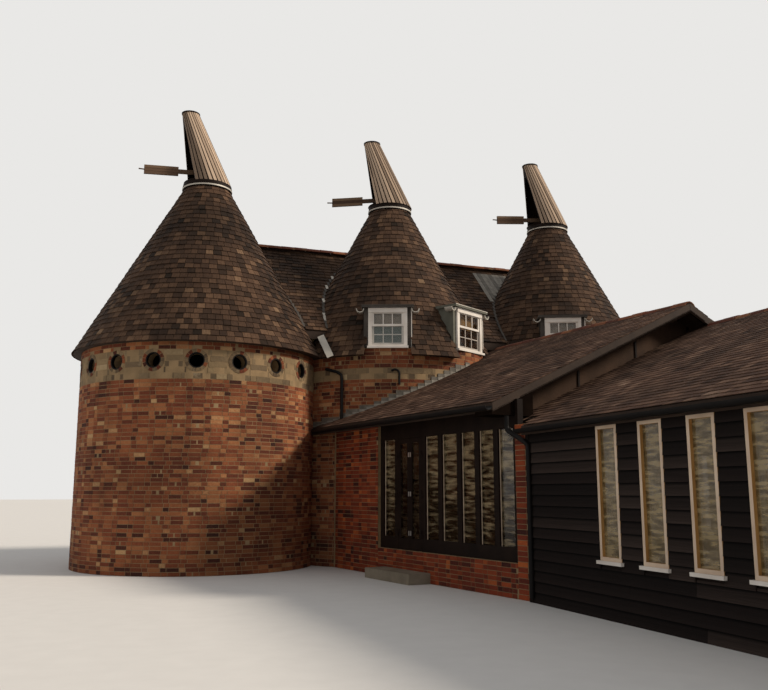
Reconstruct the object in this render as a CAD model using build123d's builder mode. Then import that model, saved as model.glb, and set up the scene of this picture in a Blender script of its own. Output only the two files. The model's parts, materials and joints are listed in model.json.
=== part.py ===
# Oast house: three round kilns with turning cowls, the stowage behind them and two low wings.
# Millimetres, +Z up, z = 0 at the lowest ground. X runs along the row of kilns, +Y away from
# the front, and the middle kiln stands on the origin.
import os
from math import cos, radians, sin, sqrt, tan

from build123d import *

os.makedirs("parts", exist_ok=True)

# Kilns
first_kiln_radius = 2410.0
other_kiln_radius = 2260.0
kiln_overlap = 200.0
kiln_wall = 330.0
kiln_overhang = 205.0
kiln_eave_z = 4250.0
kiln_top_z = 8000.0
first_top_radius = 522.0
other_top_radius = 494.0
kiln_roof_thickness = 120.0

# Band of round vents round the head of the first kiln
vent_band_z = 3550.0
vent_z = 3900.0
vent_radius = 150.0
vent_ring = 22.0
vent_ring_depth = 70.0
vent_count = 12
vent_pitch = 19.2
vent_first_angle = -163.8

# Floors
ground_floor_z = 100.0
upper_floor_z = 3550.0
upper_floor_thickness = 150.0

# Curb, spindle and cowl
curb_height = 80.0
curb_proud = 14.0
curb_width = 72.0
cowl_clearance = 5.0
pivot_clearance = 0.3
cowl_flange_height = 45.0
cowl_flange_proud = 4.0
cowl_base_radius = 490.0
cowl_top_radius = 178.0
cowl_lean = 290.0
cowl_shell = 25.0
cowl_cap_height = 28.0
cowl_cap_proud = 22.0
cowl_top_z = 9930.0
cowl_mouth_foot = 330.0
cowl_mouth_head_drop = 70.0
cowl_bar = 60.0
pivot_bar_z = 8950.0
bridle_levels = (8435.0, 8360.0, 8340.0)
bridle_offset = 150.0
spindle_radius = 35.0
spindle_beam_width = 120.0

# Vane
vane_headings = (183.0, 163.0, 175.0)
vane_droop = 4.5
vane_arm_height = 95.0
vane_arm_thickness = 40.0
vane_arm_end = 650.0
vane_board_end = 1375.0
vane_board_height = 205.0
vane_board_thickness = 32.0
vane_pin_end = 1490.0
vane_pin_radius = 14.0

# Dormers: kiln, turn of the front from -Y toward +X, sill height, window width and height
dormers = {
    "a": (1, -22.0, 4400.0, 810.0, 850.0),
    "b": (1, 30.0, 4430.0, 940.0, 930.0),
    "c": (2, -24.5, 4480.0, 810.0, 870.0),
}
dormer_front = 2235.0
dormer_frame = 75.0
dormer_frame_depth = 90.0
dormer_cheek = 95.0
dormer_roof_thickness = 55.0
dormer_roof_proud = 60.0
dormer_roof_side = 140.0
dormer_depth = 1500.0

# Stowage: the long roof behind the kilns
stowage_front_y = -860.0
stowage_wall = 330.0
stowage_ridge_y = 1300.0
stowage_ridge_z = 7280.0
stowage_pitch = 45.0
stowage_overhang = 240.0
roof_thickness = 120.0
rear_window_width = 810.0
rear_window_height = 1000.0
rear_window_sills = (1250.0, 2950.0)
rear_window_pitch = 2750.0

# Glazed wing: turned a little from the row of kilns
wing_corner = (-832.0, -7398.0)
wing_turn = 8.8
wing_ridge_x = 3910.0
wing_ridge_z = 4710.0
wing_slope = 0.453
wing_overhang = 350.0
wing_verge_y = 170.0
wing_gable_y = 600.0
wing_gable_thickness = 110.0
wing_wall = 270.0
wing_back_y = 6200.0
wing_back_overhang = 300.0
floor_z = 490.0
floor_thickness = 150.0

# West side of the glazed wing: pier, lights and doors, measured along the wall
pier_front_y = -160.0
pier_back_y = 110.0
pier_head_z = 2450.0
glazing_end_y = 4210.0
frame_set_back = 60.0
frame_depth = 100.0
frame_head_z = 2420.0
light_pitch = 490.0
light_post = 120.0
light_count = 4
leaf_pitch = 455.0
door_group_y = 2260.0
rail_height = 210.0
leaf_thickness = 45.0
leaf_stile = 80.0
leaf_rail = 190.0
leaf_gap = 5.0
hinge_proud = 12.0
hinge_radius = 11.0
hinge_height = 60.0
hinge_plate = 45.0
hinge_levels = (780.0, 1450.0, 2130.0)
glass_thickness = 14.0
step_depth = 420.0
step_length = 1500.0
step_height = 170.0

# Boarded range
range_west_x = -810.0
range_ridge_x = 3500.0
range_ridge_z = 4380.0
range_slope = 0.443
range_overhang = 100.0
range_verge = 250.0
range_wall = 150.0
range_start_y = -7570.0
range_end_y = -14350.0
window_first_y = -9270.0
window_pitch = 823.0
window_width = 420.0
window_sill_z = 680.0
window_head_z = 2290.0
window_count = 6
wing_window_count = 4
window_frame = 45.0
window_frame_depth = 95.0
window_frame_proud = 22.0
window_sill_proud = 60.0
window_sill_side = 35.0
window_sill_thickness = 40.0

# Roof trim and rainwater goods
ridge_leg = 150.0
ridge_thickness = 28.0
gutter_radius = 62.0
gutter_thickness = 6.0
fascia_thickness = 30.0
fascia_height = 190.0
eave_box_length = 750.0
eave_box_foot_z = 2590.0
pipe_radius = 36.0
pipe_stand_off = 60.0
pipe_bend = 90.0
pipe_top_y = 215.0
pipe_foot_y = -260.0
pipe_neck = (2380.0, 2150.0)
pipe_foot_z = 60.0
overflow_radius = 24.0
overflow_place = (-20.0, 3800.0)
overflow_reach = 150.0
overflow_drop = 260.0

# What follows from the sizes above
kiln_spacing = 2 * other_kiln_radius - kiln_overlap
kiln_x = (-kiln_spacing, 0.0, kiln_spacing)
kiln_radius = (first_kiln_radius, other_kiln_radius, other_kiln_radius)
kiln_top_radius = (first_top_radius, other_top_radius, other_top_radius)
kiln_eave_radius = tuple(radius + kiln_overhang for radius in kiln_radius)
kiln_slopes = tuple(
    (kiln_top_z - kiln_eave_z) / (eave - top)
    for eave, top in zip(kiln_eave_radius, kiln_top_radius)
)
cowl_base_z = kiln_top_z + curb_height + cowl_clearance
cowl_shell_z = cowl_base_z + cowl_flange_height
stowage_half = stowage_ridge_y - stowage_front_y
stowage_back_y = stowage_ridge_y + stowage_half
stowage_tan = tan(radians(stowage_pitch))
stowage_drop = roof_thickness / cos(radians(stowage_pitch))
wing_width = 2 * wing_ridge_x
wing_drop = roof_thickness * sqrt(1 + wing_slope**2)
range_width = 2 * (range_ridge_x - range_west_x)
range_east_x = range_west_x + range_width
range_drop = roof_thickness * sqrt(1 + range_slope**2)
far = 20000.0

WING = Plane(
    origin=(wing_corner[0], wing_corner[1], 0),
    x_dir=(cos(radians(wing_turn)), sin(radians(wing_turn)), 0),
    z_dir=(0, 0, 1),
)
SITE = Plane.XY


def block(frame, x_range, y_range, z_range, mode=Mode.ADD):
    """Add a rectangular block to the open part, in a frame's own axes."""
    with BuildSketch(frame.offset(z_range[0])) as outline:
        with Locations(((x_range[0] + x_range[1]) / 2, (y_range[0] + y_range[1]) / 2)):
            Rectangle(x_range[1] - x_range[0], y_range[1] - y_range[0])
    extrude(outline.sketch, amount=z_range[1] - z_range[0], mode=mode)


def across(frame, points, y_range, mode=Mode.ADD):
    """Add a prism whose (x, z) outline runs along a frame's y axis."""
    upright = Plane(
        origin=frame.from_local_coords(Vector(0, y_range[0], 0)),
        x_dir=frame.x_dir,
        z_dir=-frame.y_dir,
    )
    with BuildSketch(upright) as outline:
        with BuildLine():
            Polyline(*points, close=True)
        make_face()
    extrude(outline.sketch, amount=-(y_range[1] - y_range[0]), mode=mode)


def along(frame, points, x_range, mode=Mode.ADD):
    """Add a prism whose (y, z) outline runs along a frame's x axis."""
    upright = Plane(
        origin=frame.from_local_coords(Vector(x_range[0], 0, 0)),
        x_dir=frame.y_dir,
        z_dir=frame.x_dir,
    )
    with BuildSketch(upright) as outline:
        with BuildLine():
            Polyline(*points, close=True)
        make_face()
    extrude(outline.sketch, amount=x_range[1] - x_range[0], mode=mode)


def turned(kiln, points, mode=Mode.ADD):
    """Add a body turned about a kiln's upright axis from its (radius, z) outline."""
    upright = Plane(origin=(kiln_x[kiln], 0, 0), x_dir=(1, 0, 0), z_dir=(0, -1, 0))
    with BuildSketch(upright) as outline:
        with BuildLine():
            Polyline(*points, close=True)
        make_face()
    axis = Axis((kiln_x[kiln], 0, 0), (0, 0, 1))
    revolve(outline.sketch, axis=axis, revolution_arc=360, mode=mode)


def kiln_space(kiln, mode=Mode.SUBTRACT, grow=0.0):
    """Take a kiln's whole outer form, walls and roof, out of the open part."""
    radius = kiln_radius[kiln] + grow
    eave = kiln_eave_radius[kiln] + grow
    top = kiln_top_radius[kiln] + grow
    points = [(0, 0), (radius, 0), (radius, kiln_eave_z), (eave, kiln_eave_z)]
    points += [(top, kiln_top_z), (0, kiln_top_z)]
    turned(kiln, points, mode)


def facing(kiln, angle, distance, z):
    """Plane on a kiln's side: x to the right of a viewer, y up, z outward."""
    out = Vector(sin(radians(angle)), -cos(radians(angle)), 0)
    centre = Vector(kiln_x[kiln], 0, z)
    right = Vector(cos(radians(angle)), sin(radians(angle)), 0)
    return Plane(origin=centre + out * distance, x_dir=right, z_dir=out)


def save(part, name):
    """Label a finished part and write it."""
    part.label = name
    export_step(part, f"parts/{name}.step")


# Kiln walls. The first is taller in brick and carries the vents in a band of its own.
for kiln in range(3):
    head_z = vent_band_z if kiln == 0 else kiln_eave_z
    inner = kiln_radius[kiln] - kiln_wall
    with BuildPart() as kiln_wall_ring:
        turned(kiln, [(inner, 0), (kiln_radius[kiln], 0), (kiln_radius[kiln], head_z), (inner, head_z)])
        if kiln > 0:
            kiln_space(kiln - 1)
    save(kiln_wall_ring.part, f"kiln_{kiln + 1}_wall")

vent_angles = [vent_first_angle + vent_pitch * step for step in range(vent_count)]
with BuildPart() as vent_band:
    band_outer = kiln_radius[0]
    band_inner = band_outer - kiln_wall
    band = [(band_inner, vent_band_z), (band_outer, vent_band_z)]
    band += [(band_outer, kiln_eave_z), (band_inner, kiln_eave_z)]
    turned(0, band)
    for angle in vent_angles:
        with BuildSketch(facing(0, angle, band_inner - vent_radius, vent_z)) as hole:
            Circle(vent_radius)
        extrude(hole.sketch, amount=kiln_wall + 2 * vent_radius, mode=Mode.SUBTRACT)
save(vent_band.part, "kiln_1_vent_band")

with BuildPart() as vent_rings:
    for angle in vent_angles:
        ring_seat = sqrt(kiln_radius[0] ** 2 - vent_radius**2) - vent_ring_depth
        with BuildSketch(facing(0, angle, ring_seat, vent_z)) as ring:
            Circle(vent_radius)
            Circle(vent_radius - vent_ring, mode=Mode.SUBTRACT)
        extrude(ring.sketch, amount=vent_ring_depth)
save(vent_rings.part, "kiln_1_vent_rings")

# Ground floors, and the upper floors of the kilns with dormers
with BuildPart() as ground_floors:
    for kiln in range(3):
        inner = kiln_radius[kiln] - kiln_wall
        turned(kiln, [(0, 0), (inner, 0), (inner, ground_floor_z), (0, ground_floor_z)])
        if kiln > 0:
            kiln_space(kiln - 1)
save(ground_floors.part, "kiln_ground_floors")

with BuildPart() as kiln_floors:
    for kiln in (1, 2):
        inner = kiln_radius[kiln] - kiln_wall
        low = upper_floor_z - upper_floor_thickness
        turned(kiln, [(0, low), (inner, low), (inner, upper_floor_z), (0, upper_floor_z)])
    kiln_space(0)
save(kiln_floors.part, "kiln_upper_floors")

# Kiln roofs: hollow cones, opened where a dormer stands
for kiln in range(3):
    eave, top = kiln_eave_radius[kiln], kiln_top_radius[kiln]
    slope = kiln_slopes[kiln]
    across_shell = kiln_roof_thickness * sqrt(1 + slope**2) / slope
    inner_foot = kiln_radius[kiln] - kiln_wall
    foot_z = kiln_eave_z + (eave - across_shell - inner_foot) * slope
    outline = [(inner_foot, kiln_eave_z), (eave, kiln_eave_z), (top, kiln_top_z)]
    outline += [(top - across_shell, kiln_top_z), (inner_foot, foot_z)]
    with BuildPart() as cone:
        turned(kiln, outline)
        if kiln > 0:
            kiln_space(kiln - 1)
        for place, angle, sill, width, height in dormers.values():
            if place == kiln:
                mouth = facing(kiln, angle, 0, kiln_eave_z)
                rise = sill + height - kiln_eave_z
                with BuildSketch(mouth) as gap:
                    with Locations((0, rise / 2)):
                        Rectangle(width + 2 * dormer_cheek, rise)
                extrude(gap.sketch, amount=far, mode=Mode.SUBTRACT)
    save(cone.part, f"kiln_{kiln + 1}_roof")

# Dormers: a brick upstand on the wall, lead-clad cheeks and roof, and a framed window
with BuildPart() as upstands:
    for kiln, angle, sill, width, height in dormers.values():
        half = width / 2 + dormer_cheek
        side = facing(kiln, angle, 0, kiln_eave_z)
        low = kiln_radius[kiln] - kiln_wall
        with BuildPart(mode=Mode.PRIVATE) as ring:
            turned(kiln, [(low, kiln_eave_z), (kiln_radius[kiln], kiln_eave_z), (kiln_radius[kiln], sill), (low, sill)])
            with BuildSketch(side) as keep:
                with Locations((0, (sill - kiln_eave_z) / 2)):
                    Rectangle(2 * half, sill - kiln_eave_z)
            extrude(keep.sketch, amount=far, mode=Mode.INTERSECT)
        add(ring.part)
save(upstands.part, "dormer_upstands")

for name, (kiln, angle, sill, width, height) in dormers.items():
    half = width / 2
    slope = kiln_slopes[kiln]
    roof_middle = height + dormer_roof_thickness / 2
    with BuildPart() as casing:
        with BuildSketch(facing(kiln, angle, dormer_front - dormer_depth, sill)) as shape:
            for side in (-1, 1):
                with Locations((side * (half + dormer_cheek / 2), height / 2)):
                    Rectangle(dormer_cheek, height)
            with Locations((0, roof_middle)):
                Rectangle(2 * (half + dormer_roof_side), dormer_roof_thickness)
        extrude(shape.sketch, amount=dormer_depth - dormer_frame_depth / 2)
        with BuildSketch(facing(kiln, angle, dormer_front - dormer_frame_depth, sill)) as lid:
            with Locations((0, roof_middle)):
                Rectangle(2 * (half + dormer_roof_side), dormer_roof_thickness)
        extrude(lid.sketch, amount=dormer_frame_depth + dormer_roof_proud)
        inside = kiln_eave_radius[kiln] - kiln_roof_thickness * sqrt(1 + slope**2) / slope
        turned(kiln, [(0, 0), (inside, kiln_eave_z), (0, kiln_eave_z + inside * slope)], Mode.SUBTRACT)
        with BuildPart(mode=Mode.PRIVATE) as cone_body:
            turned(kiln, [(0, kiln_eave_z), (kiln_eave_radius[kiln], kiln_eave_z), (kiln_top_radius[kiln], kiln_top_z), (0, kiln_top_z)])
            with BuildSketch(facing(kiln, angle, 0, kiln_eave_z)) as gap:
                with Locations((0, (sill + height - kiln_eave_z) / 2)):
                    Rectangle(width + 2 * dormer_cheek, sill + height - kiln_eave_z)
            extrude(gap.sketch, amount=far, mode=Mode.SUBTRACT)
        add(cone_body.part, mode=Mode.SUBTRACT)
    save(casing.part, f"dormer_{name}_casing")

with BuildPart() as dormer_windows:
    for kiln, angle, sill, width, height in dormers.values():
        with BuildSketch(facing(kiln, angle, dormer_front - dormer_frame_depth, sill)) as frame_shape:
            with Locations((0, height / 2)):
                Rectangle(width, height)
                Rectangle(width - 2 * dormer_frame, height - 2 * dormer_frame, mode=Mode.SUBTRACT)
        extrude(frame_shape.sketch, amount=dormer_frame_depth)
save(dormer_windows.part, "dormer_window_frames")

# Curbs, and the beam and spindle that carry each cowl
with BuildPart() as curbs:
    for kiln in range(3):
        outer = kiln_top_radius[kiln] + curb_proud
        head = kiln_top_z + curb_height
        turned(kiln, [(outer - curb_width, kiln_top_z), (outer, kiln_top_z), (outer, head), (outer - curb_width, head)])
save(curbs.part, "kiln_curbs")

with BuildPart() as spindles:
    for kiln in range(3):
        reach = kiln_top_radius[kiln] + curb_proud - curb_width - 2 * pivot_clearance
        beam_frame = Plane(origin=(kiln_x[kiln], 0, 0))
        half = spindle_beam_width / 2
        span = sqrt(reach**2 - half**2)
        block(beam_frame, (-span, span), (-half, half), (kiln_top_z, kiln_top_z + curb_height - cowl_clearance))
        with BuildSketch(Plane.XY.offset(kiln_top_z)) as post:
            with Locations((kiln_x[kiln], 0)):
                Circle(spindle_radius)
        extrude(post.sketch, amount=pivot_bar_z - cowl_bar / 2 - kiln_top_z)
save(spindles.part, "cowl_spindles")

# Cowls: a leaning cone of boards, open toward the vane, turning on its spindle
cowl_head_z = cowl_top_z - cowl_cap_height
for kiln in range(3):
    heading = Plane(
        origin=(kiln_x[kiln], 0, 0),
        x_dir=(cos(radians(vane_headings[kiln])), sin(radians(vane_headings[kiln])), 0),
        z_dir=(0, 0, 1),
    )
    flange_radius = kiln_top_radius[kiln] + cowl_flange_proud
    bridle_z = bridle_levels[kiln]
    with BuildPart() as cowl:
        with BuildSketch(heading.offset(cowl_shell_z)) as foot:
            Circle(cowl_base_radius)
        with BuildSketch(heading.offset(cowl_head_z)) as head:
            with Locations((cowl_lean, 0)):
                Circle(cowl_top_radius)
        loft(sections=[foot.sketch, head.sketch])
        with BuildSketch(heading.offset(cowl_shell_z)) as inner_foot_shape:
            Circle(cowl_base_radius - cowl_shell)
        with BuildSketch(heading.offset(cowl_head_z)) as inner_head_shape:
            with Locations((cowl_lean, 0)):
                Circle(cowl_top_radius - cowl_shell)
        loft(sections=[inner_foot_shape.sketch, inner_head_shape.sketch], mode=Mode.SUBTRACT)
        mouth_top = cowl_head_z - cowl_mouth_head_drop
        mouth_out = cowl_lean + cowl_top_radius
        mouth = [(cowl_mouth_foot, cowl_shell_z + cowl_flange_height), (mouth_out, mouth_top)]
        mouth += [(mouth_out + far, mouth_top), (mouth_out + far, cowl_shell_z + cowl_flange_height)]
        across(heading, mouth, (-cowl_base_radius, cowl_base_radius), Mode.SUBTRACT)
        for bar_x, bar_z in ((0.0, pivot_bar_z + pivot_clearance), (bridle_offset, bridle_z)):
            rise = (bar_z - cowl_shell_z) / (cowl_head_z - cowl_shell_z)
            centre = cowl_lean * rise
            radius = cowl_base_radius + (cowl_top_radius - cowl_base_radius) * rise - cowl_shell / 2
            reach = sqrt(radius**2 - (abs(bar_x - centre) + cowl_bar / 2) ** 2)
            block(
                heading,
                (bar_x - cowl_bar / 2, bar_x + cowl_bar / 2),
                (-reach, reach),
                (bar_z - cowl_bar / 2, bar_z + cowl_bar / 2),
            )
        with BuildSketch(heading.offset(cowl_base_z)) as flange:
            Circle(flange_radius)
            Circle(cowl_base_radius - cowl_shell, mode=Mode.SUBTRACT)
        extrude(flange.sketch, amount=cowl_flange_height)
        with BuildSketch(heading.offset(cowl_head_z)) as cap:
            with Locations((cowl_lean, 0)):
                Circle(cowl_top_radius + cowl_cap_proud)
        extrude(cap.sketch, amount=cowl_cap_height)
    save(cowl.part, f"cowl_{kiln + 1}")
    with BuildPart() as vane:
        arm_start = bridle_offset + cowl_bar / 2
        fall = tan(radians(vane_droop))
        for start, end, height, thickness in (
            (arm_start, vane_arm_end + vane_board_height, vane_arm_height, vane_arm_thickness),
            (vane_arm_end, vane_board_end, vane_board_height, vane_board_thickness),
        ):
            levels = [bridle_z - fall * (reach - arm_start) for reach in (start, end)]
            plank = [(start, levels[0] - height / 2), (start, levels[0] + height / 2)]
            plank += [(end, levels[1] + height / 2), (end, levels[1] - height / 2)]
            across(heading, plank, (-thickness / 2, thickness / 2))
        tip = Plane(
            origin=heading.from_local_coords(Vector(vane_board_end, 0, levels[1])),
            x_dir=heading.y_dir,
            z_dir=heading.x_dir,
        )
        with BuildSketch(tip) as pin:
            Circle(vane_pin_radius)
        extrude(pin.sketch, amount=vane_pin_end - vane_board_end)
    save(vane.part, f"vane_{kiln + 1}")

# Stowage walls
stowage_half_length = kiln_spacing
wall_head = [
    (stowage_front_y, stowage_ridge_z - stowage_half * stowage_tan - stowage_drop),
    (stowage_ridge_y, stowage_ridge_z - stowage_drop),
    (stowage_back_y, stowage_ridge_z - stowage_half * stowage_tan - stowage_drop),
]
with BuildPart() as rear_wall:
    rise = stowage_wall * stowage_tan
    section = [(stowage_back_y - stowage_wall, 0), (stowage_back_y, 0), wall_head[2]]
    section += [(stowage_back_y - stowage_wall, wall_head[2][1] + rise)]
    along(SITE, section, (-stowage_half_length, stowage_half_length))
    for column in (-1, 0, 1):
        for sill in rear_window_sills:
            middle = column * rear_window_pitch
            block(
                SITE,
                (middle - rear_window_width / 2, middle + rear_window_width / 2),
                (stowage_back_y - stowage_wall, stowage_back_y),
                (sill, sill + rear_window_height),
                Mode.SUBTRACT,
            )
save(rear_wall.part, "stowage_rear_wall")

with BuildPart() as rear_frames:
    for column in (-1, 0, 1):
        for sill in rear_window_sills:
            middle = column * rear_window_pitch
            half = rear_window_width / 2
            depth = (stowage_back_y - dormer_frame_depth, stowage_back_y)
            block(SITE, (middle - half, middle + half), depth, (sill, sill + rear_window_height))
            block(
                SITE,
                (middle - half + dormer_frame, middle + half - dormer_frame),
                depth,
                (sill + dormer_frame, sill + rear_window_height - dormer_frame),
                Mode.SUBTRACT,
            )
save(rear_frames.part, "stowage_window_frames")

with BuildPart() as gables:
    outline = [(stowage_front_y, 0), *wall_head]
    outline[3] = (stowage_back_y - stowage_wall, wall_head[2][1] + stowage_wall * stowage_tan)
    outline += [(stowage_back_y - stowage_wall, 0)]
    for start in (-stowage_half_length, stowage_half_length - stowage_wall):
        along(SITE, outline, (start, start + stowage_wall))
    for kiln in (0, 2):
        kiln_space(kiln)
save(gables.part, "stowage_gables")

with BuildPart() as link_walls:
    rise = stowage_wall * stowage_tan
    section = [(stowage_front_y, 0), (stowage_front_y + stowage_wall, 0)]
    section += [(stowage_front_y + stowage_wall, wall_head[0][1] + rise), wall_head[0]]
    along(SITE, section, (-kiln_spacing, kiln_spacing))
    for kiln in range(3):
        kiln_space(kiln)
save(link_walls.part, "stowage_link_walls")

# Stowage roof: two slopes cut round the kilns
for side, name in ((-1, "front"), (1, "rear")):
    reach = stowage_half + stowage_overhang
    low = stowage_ridge_z - reach * stowage_tan
    slab = [(stowage_ridge_y, stowage_ridge_z), (stowage_ridge_y + side * reach, low)]
    slab += [(stowage_ridge_y + side * reach, low - stowage_drop), (stowage_ridge_y, stowage_ridge_z - stowage_drop)]
    with BuildPart() as slope_slab:
        along(SITE, slab, (-stowage_half_length - stowage_overhang, stowage_half_length + stowage_overhang))
        for kiln in range(3):
            kiln_space(kiln)
        block(SITE, (-far, -kiln_x[2]), (-far, 0), (0, far), Mode.SUBTRACT)
        block(SITE, (kiln_x[2], far), (-far, 0), (0, far), Mode.SUBTRACT)
    save(slope_slab.part, f"stowage_roof_{name}")


def wing_top(x):
    """Height of the glazed wing's tiles at a place across it."""
    return wing_ridge_z - wing_slope * abs(x - wing_ridge_x)


def range_top(x):
    """Height of the boarded range's tiles at a place across it."""
    return range_ridge_z - range_slope * abs(x - range_ridge_x)


def clear_of_stowage():
    """Keep a wing's piece out of the kilns and the stowage."""
    for kiln in range(3):
        kiln_space(kiln)
    block(SITE, (-kiln_spacing, kiln_spacing), (stowage_front_y, far), (0, far), Mode.SUBTRACT)
    verge_y = stowage_front_y - stowage_overhang
    under = [(verge_y, wall_head[0][1] - stowage_overhang * stowage_tan), wall_head[0]]
    under += [(stowage_front_y, far), (verge_y, far)]
    along(SITE, under, (-kiln_spacing, kiln_spacing), Mode.SUBTRACT)


def clear_of_wing():
    """Keep a piece of the range's roof clear of the glazed wing's front, gable and roof."""
    block(WING, (-far, wing_wall), (pier_front_y, far), (0, far), Mode.SUBTRACT)
    block(WING, (-far, far), (wing_gable_y, far), (0, far), Mode.SUBTRACT)
    reach = wing_ridge_x + wing_overhang + roof_thickness
    under = [(wing_ridge_x - reach, wing_top(wing_ridge_x - reach) - wing_drop)]
    under += [(wing_ridge_x, wing_ridge_z - wing_drop)]
    under += [(wing_ridge_x + reach, wing_top(wing_ridge_x + reach) - wing_drop)]
    under += [(wing_ridge_x + reach, far), (wing_ridge_x - reach, far)]
    across(WING, under, (wing_verge_y, wing_gable_y), Mode.SUBTRACT)


# Glazed wing
with BuildPart() as corner_pier:
    block(WING, (0, wing_wall), (pier_front_y, pier_back_y), (0, pier_head_z))
save(corner_pier.part, "corner_pier")

with BuildPart() as brick_panel:
    head = [(0, wing_top(0) - wing_drop), (wing_wall, wing_top(wing_wall) - wing_drop)]
    across(WING, [(0, 0), (wing_wall, 0), head[1], head[0]], (glazing_end_y, wing_back_y))
    clear_of_stowage()
save(brick_panel.part, "brick_panel")

with BuildPart() as plinth:
    block(WING, (0, wing_wall), (pier_back_y, glazing_end_y), (0, floor_z))
save(plinth.part, "glazing_plinth")

door_middle_y = door_group_y + 2 * leaf_pitch
door_low_y = door_middle_y - leaf_pitch
door_high_y = door_middle_y + leaf_pitch
frame_x = (frame_set_back, frame_set_back + frame_depth)
frame_top_z = wing_top(frame_set_back) - wing_drop
light_first_y = pier_back_y + light_post / 2
post_lines = [light_first_y + light_pitch * step for step in range(light_count)]
post_lines += [door_group_y - light_post / 2, door_low_y, door_high_y]
hinge_lines = ((door_low_y + light_post / 2, 1), (door_high_y - light_post / 2, -1))
hinge_x = frame_set_back - hinge_proud


def hinge_half(hinge_y, side, z_range):
    """Add one knuckle of a door hinge with its plate on a face beside it."""
    with BuildSketch(Plane(origin=WING.from_local_coords(Vector(hinge_x, hinge_y, z_range[0])))) as barrel:
        Circle(hinge_radius)
    extrude(barrel.sketch, amount=z_range[1] - z_range[0])
    plate = sorted((hinge_y, hinge_y + side * hinge_plate))
    block(WING, (hinge_x, frame_set_back), plate, z_range)


with BuildPart() as glazed_frame:
    head = [(frame_x[0], frame_head_z), (frame_x[1], frame_head_z)]
    head += [(frame_x[1], frame_top_z), (frame_x[0], frame_top_z)]
    across(WING, head, (pier_back_y, glazing_end_y))
    for line in post_lines:
        block(WING, frame_x, (line - light_post / 2, line + light_post / 2), (floor_z, frame_head_z))
    end_post = (glazing_end_y - light_post, glazing_end_y)
    block(WING, frame_x, end_post, (floor_z, frame_head_z))
    for span in ((pier_back_y, door_low_y), (door_high_y, glazing_end_y)):
        block(WING, frame_x, span, (floor_z, floor_z + rail_height))
    for hinge_y, inward in hinge_lines:
        for level in hinge_levels:
            hinge_half(hinge_y, -inward, (level - hinge_height, level))
save(glazed_frame.part, "glazed_frame")


# Doors: two narrow glazed leaves hung on the outer posts
for name, (hinge_y, inward) in zip(("right", "left"), hinge_lines):
    jamb_y = hinge_y + inward * leaf_gap
    meet_y = door_middle_y - inward * leaf_gap / 2
    leaf_y = (min(jamb_y, meet_y), max(jamb_y, meet_y))
    leaf_x = (frame_set_back, frame_set_back + leaf_thickness)
    leaf_z = (floor_z + leaf_gap, frame_head_z - leaf_gap)
    glass_y = (leaf_y[0] + leaf_stile, leaf_y[1] - leaf_stile)
    glass_z = (leaf_z[0] + leaf_rail, leaf_z[1] - leaf_stile)
    with BuildPart() as leaf:
        block(WING, leaf_x, leaf_y, leaf_z)
        block(WING, leaf_x, glass_y, glass_z, Mode.SUBTRACT)
        for level in hinge_levels:
            foot = level + pivot_clearance
            hinge_half(hinge_y, inward, (foot, foot + hinge_height))
    save(leaf.part, f"door_{name}")
    middle = frame_set_back + leaf_thickness / 2
    with BuildPart() as pane:
        block(WING, (middle - glass_thickness / 2, middle + glass_thickness / 2), glass_y, glass_z)
    save(pane.part, f"door_{name}_glass")

# Fixed glass of the wing's front
with BuildPart() as glazing:
    middle = frame_set_back + frame_depth / 2
    depth = (middle - glass_thickness / 2, middle + glass_thickness / 2)
    lines = sorted(post_lines) + [glazing_end_y - light_post / 2]
    for low, high in zip(lines, lines[1:]):
        if low < door_middle_y < high or high - low < light_post * 1.5:
            continue
        span = (low + light_post / 2, high - light_post / 2)
        block(WING, depth, span, (floor_z + rail_height, frame_head_z))
save(glazing.part, "glazed_frame_glass")

# Wing walls that the front hides
gable_y = (wing_gable_y, wing_gable_y + wing_gable_thickness)
with BuildPart() as wing_gable:
    outline = [(wing_wall, window_head_z), (wing_width - wing_wall, window_head_z)]
    outline += [(wing_width - wing_wall, wing_top(wing_width - wing_wall) - wing_drop)]
    outline += [(wing_ridge_x, wing_ridge_z - wing_drop)]
    outline += [(wing_wall, wing_top(wing_wall) - wing_drop)]
    across(WING, outline, gable_y)
save(wing_gable.part, "wing_gable")

wing_window_lines = [wing_gable_y + 2 * window_width + step * window_pitch for step in range(wing_window_count)]
wing_windows = [(line, line + window_width) for line in wing_window_lines]
with BuildPart() as wing_east:
    outline = [(wing_width - wing_wall, 0), (wing_width, 0), (wing_width, wing_top(wing_width) - wing_drop)]
    outline += [(wing_width - wing_wall, wing_top(wing_width - wing_wall) - wing_drop)]
    across(WING, outline, (wing_gable_y, wing_back_y))
    for span in wing_windows:
        block(WING, (wing_width - wing_wall, wing_width), span, (window_sill_z, window_head_z), Mode.SUBTRACT)
    back = [(kiln_spacing, 0), (wing_width, 0), (wing_width, wing_top(wing_width) - wing_drop)]
    back += [(kiln_spacing, wing_top(kiln_spacing) - wing_drop)]
    across(WING, back, (wing_back_y, wing_back_y + wing_wall))
    clear_of_stowage()
save(wing_east.part, "wing_east_wall")

# Wing roof
for side, name in ((-1, "west"), (1, "east")):
    eave_x = wing_ridge_x + side * (wing_ridge_x + wing_overhang)
    slab = [(wing_ridge_x, wing_ridge_z), (eave_x, wing_top(eave_x))]
    slab += [(eave_x, wing_top(eave_x) - wing_drop), (wing_ridge_x, wing_ridge_z - wing_drop)]
    with BuildPart() as wing_slope_slab:
        across(WING, slab, (wing_verge_y, wing_back_y + wing_wall + wing_back_overhang))
        clear_of_stowage()
    save(wing_slope_slab.part, f"wing_roof_{name}")

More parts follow.
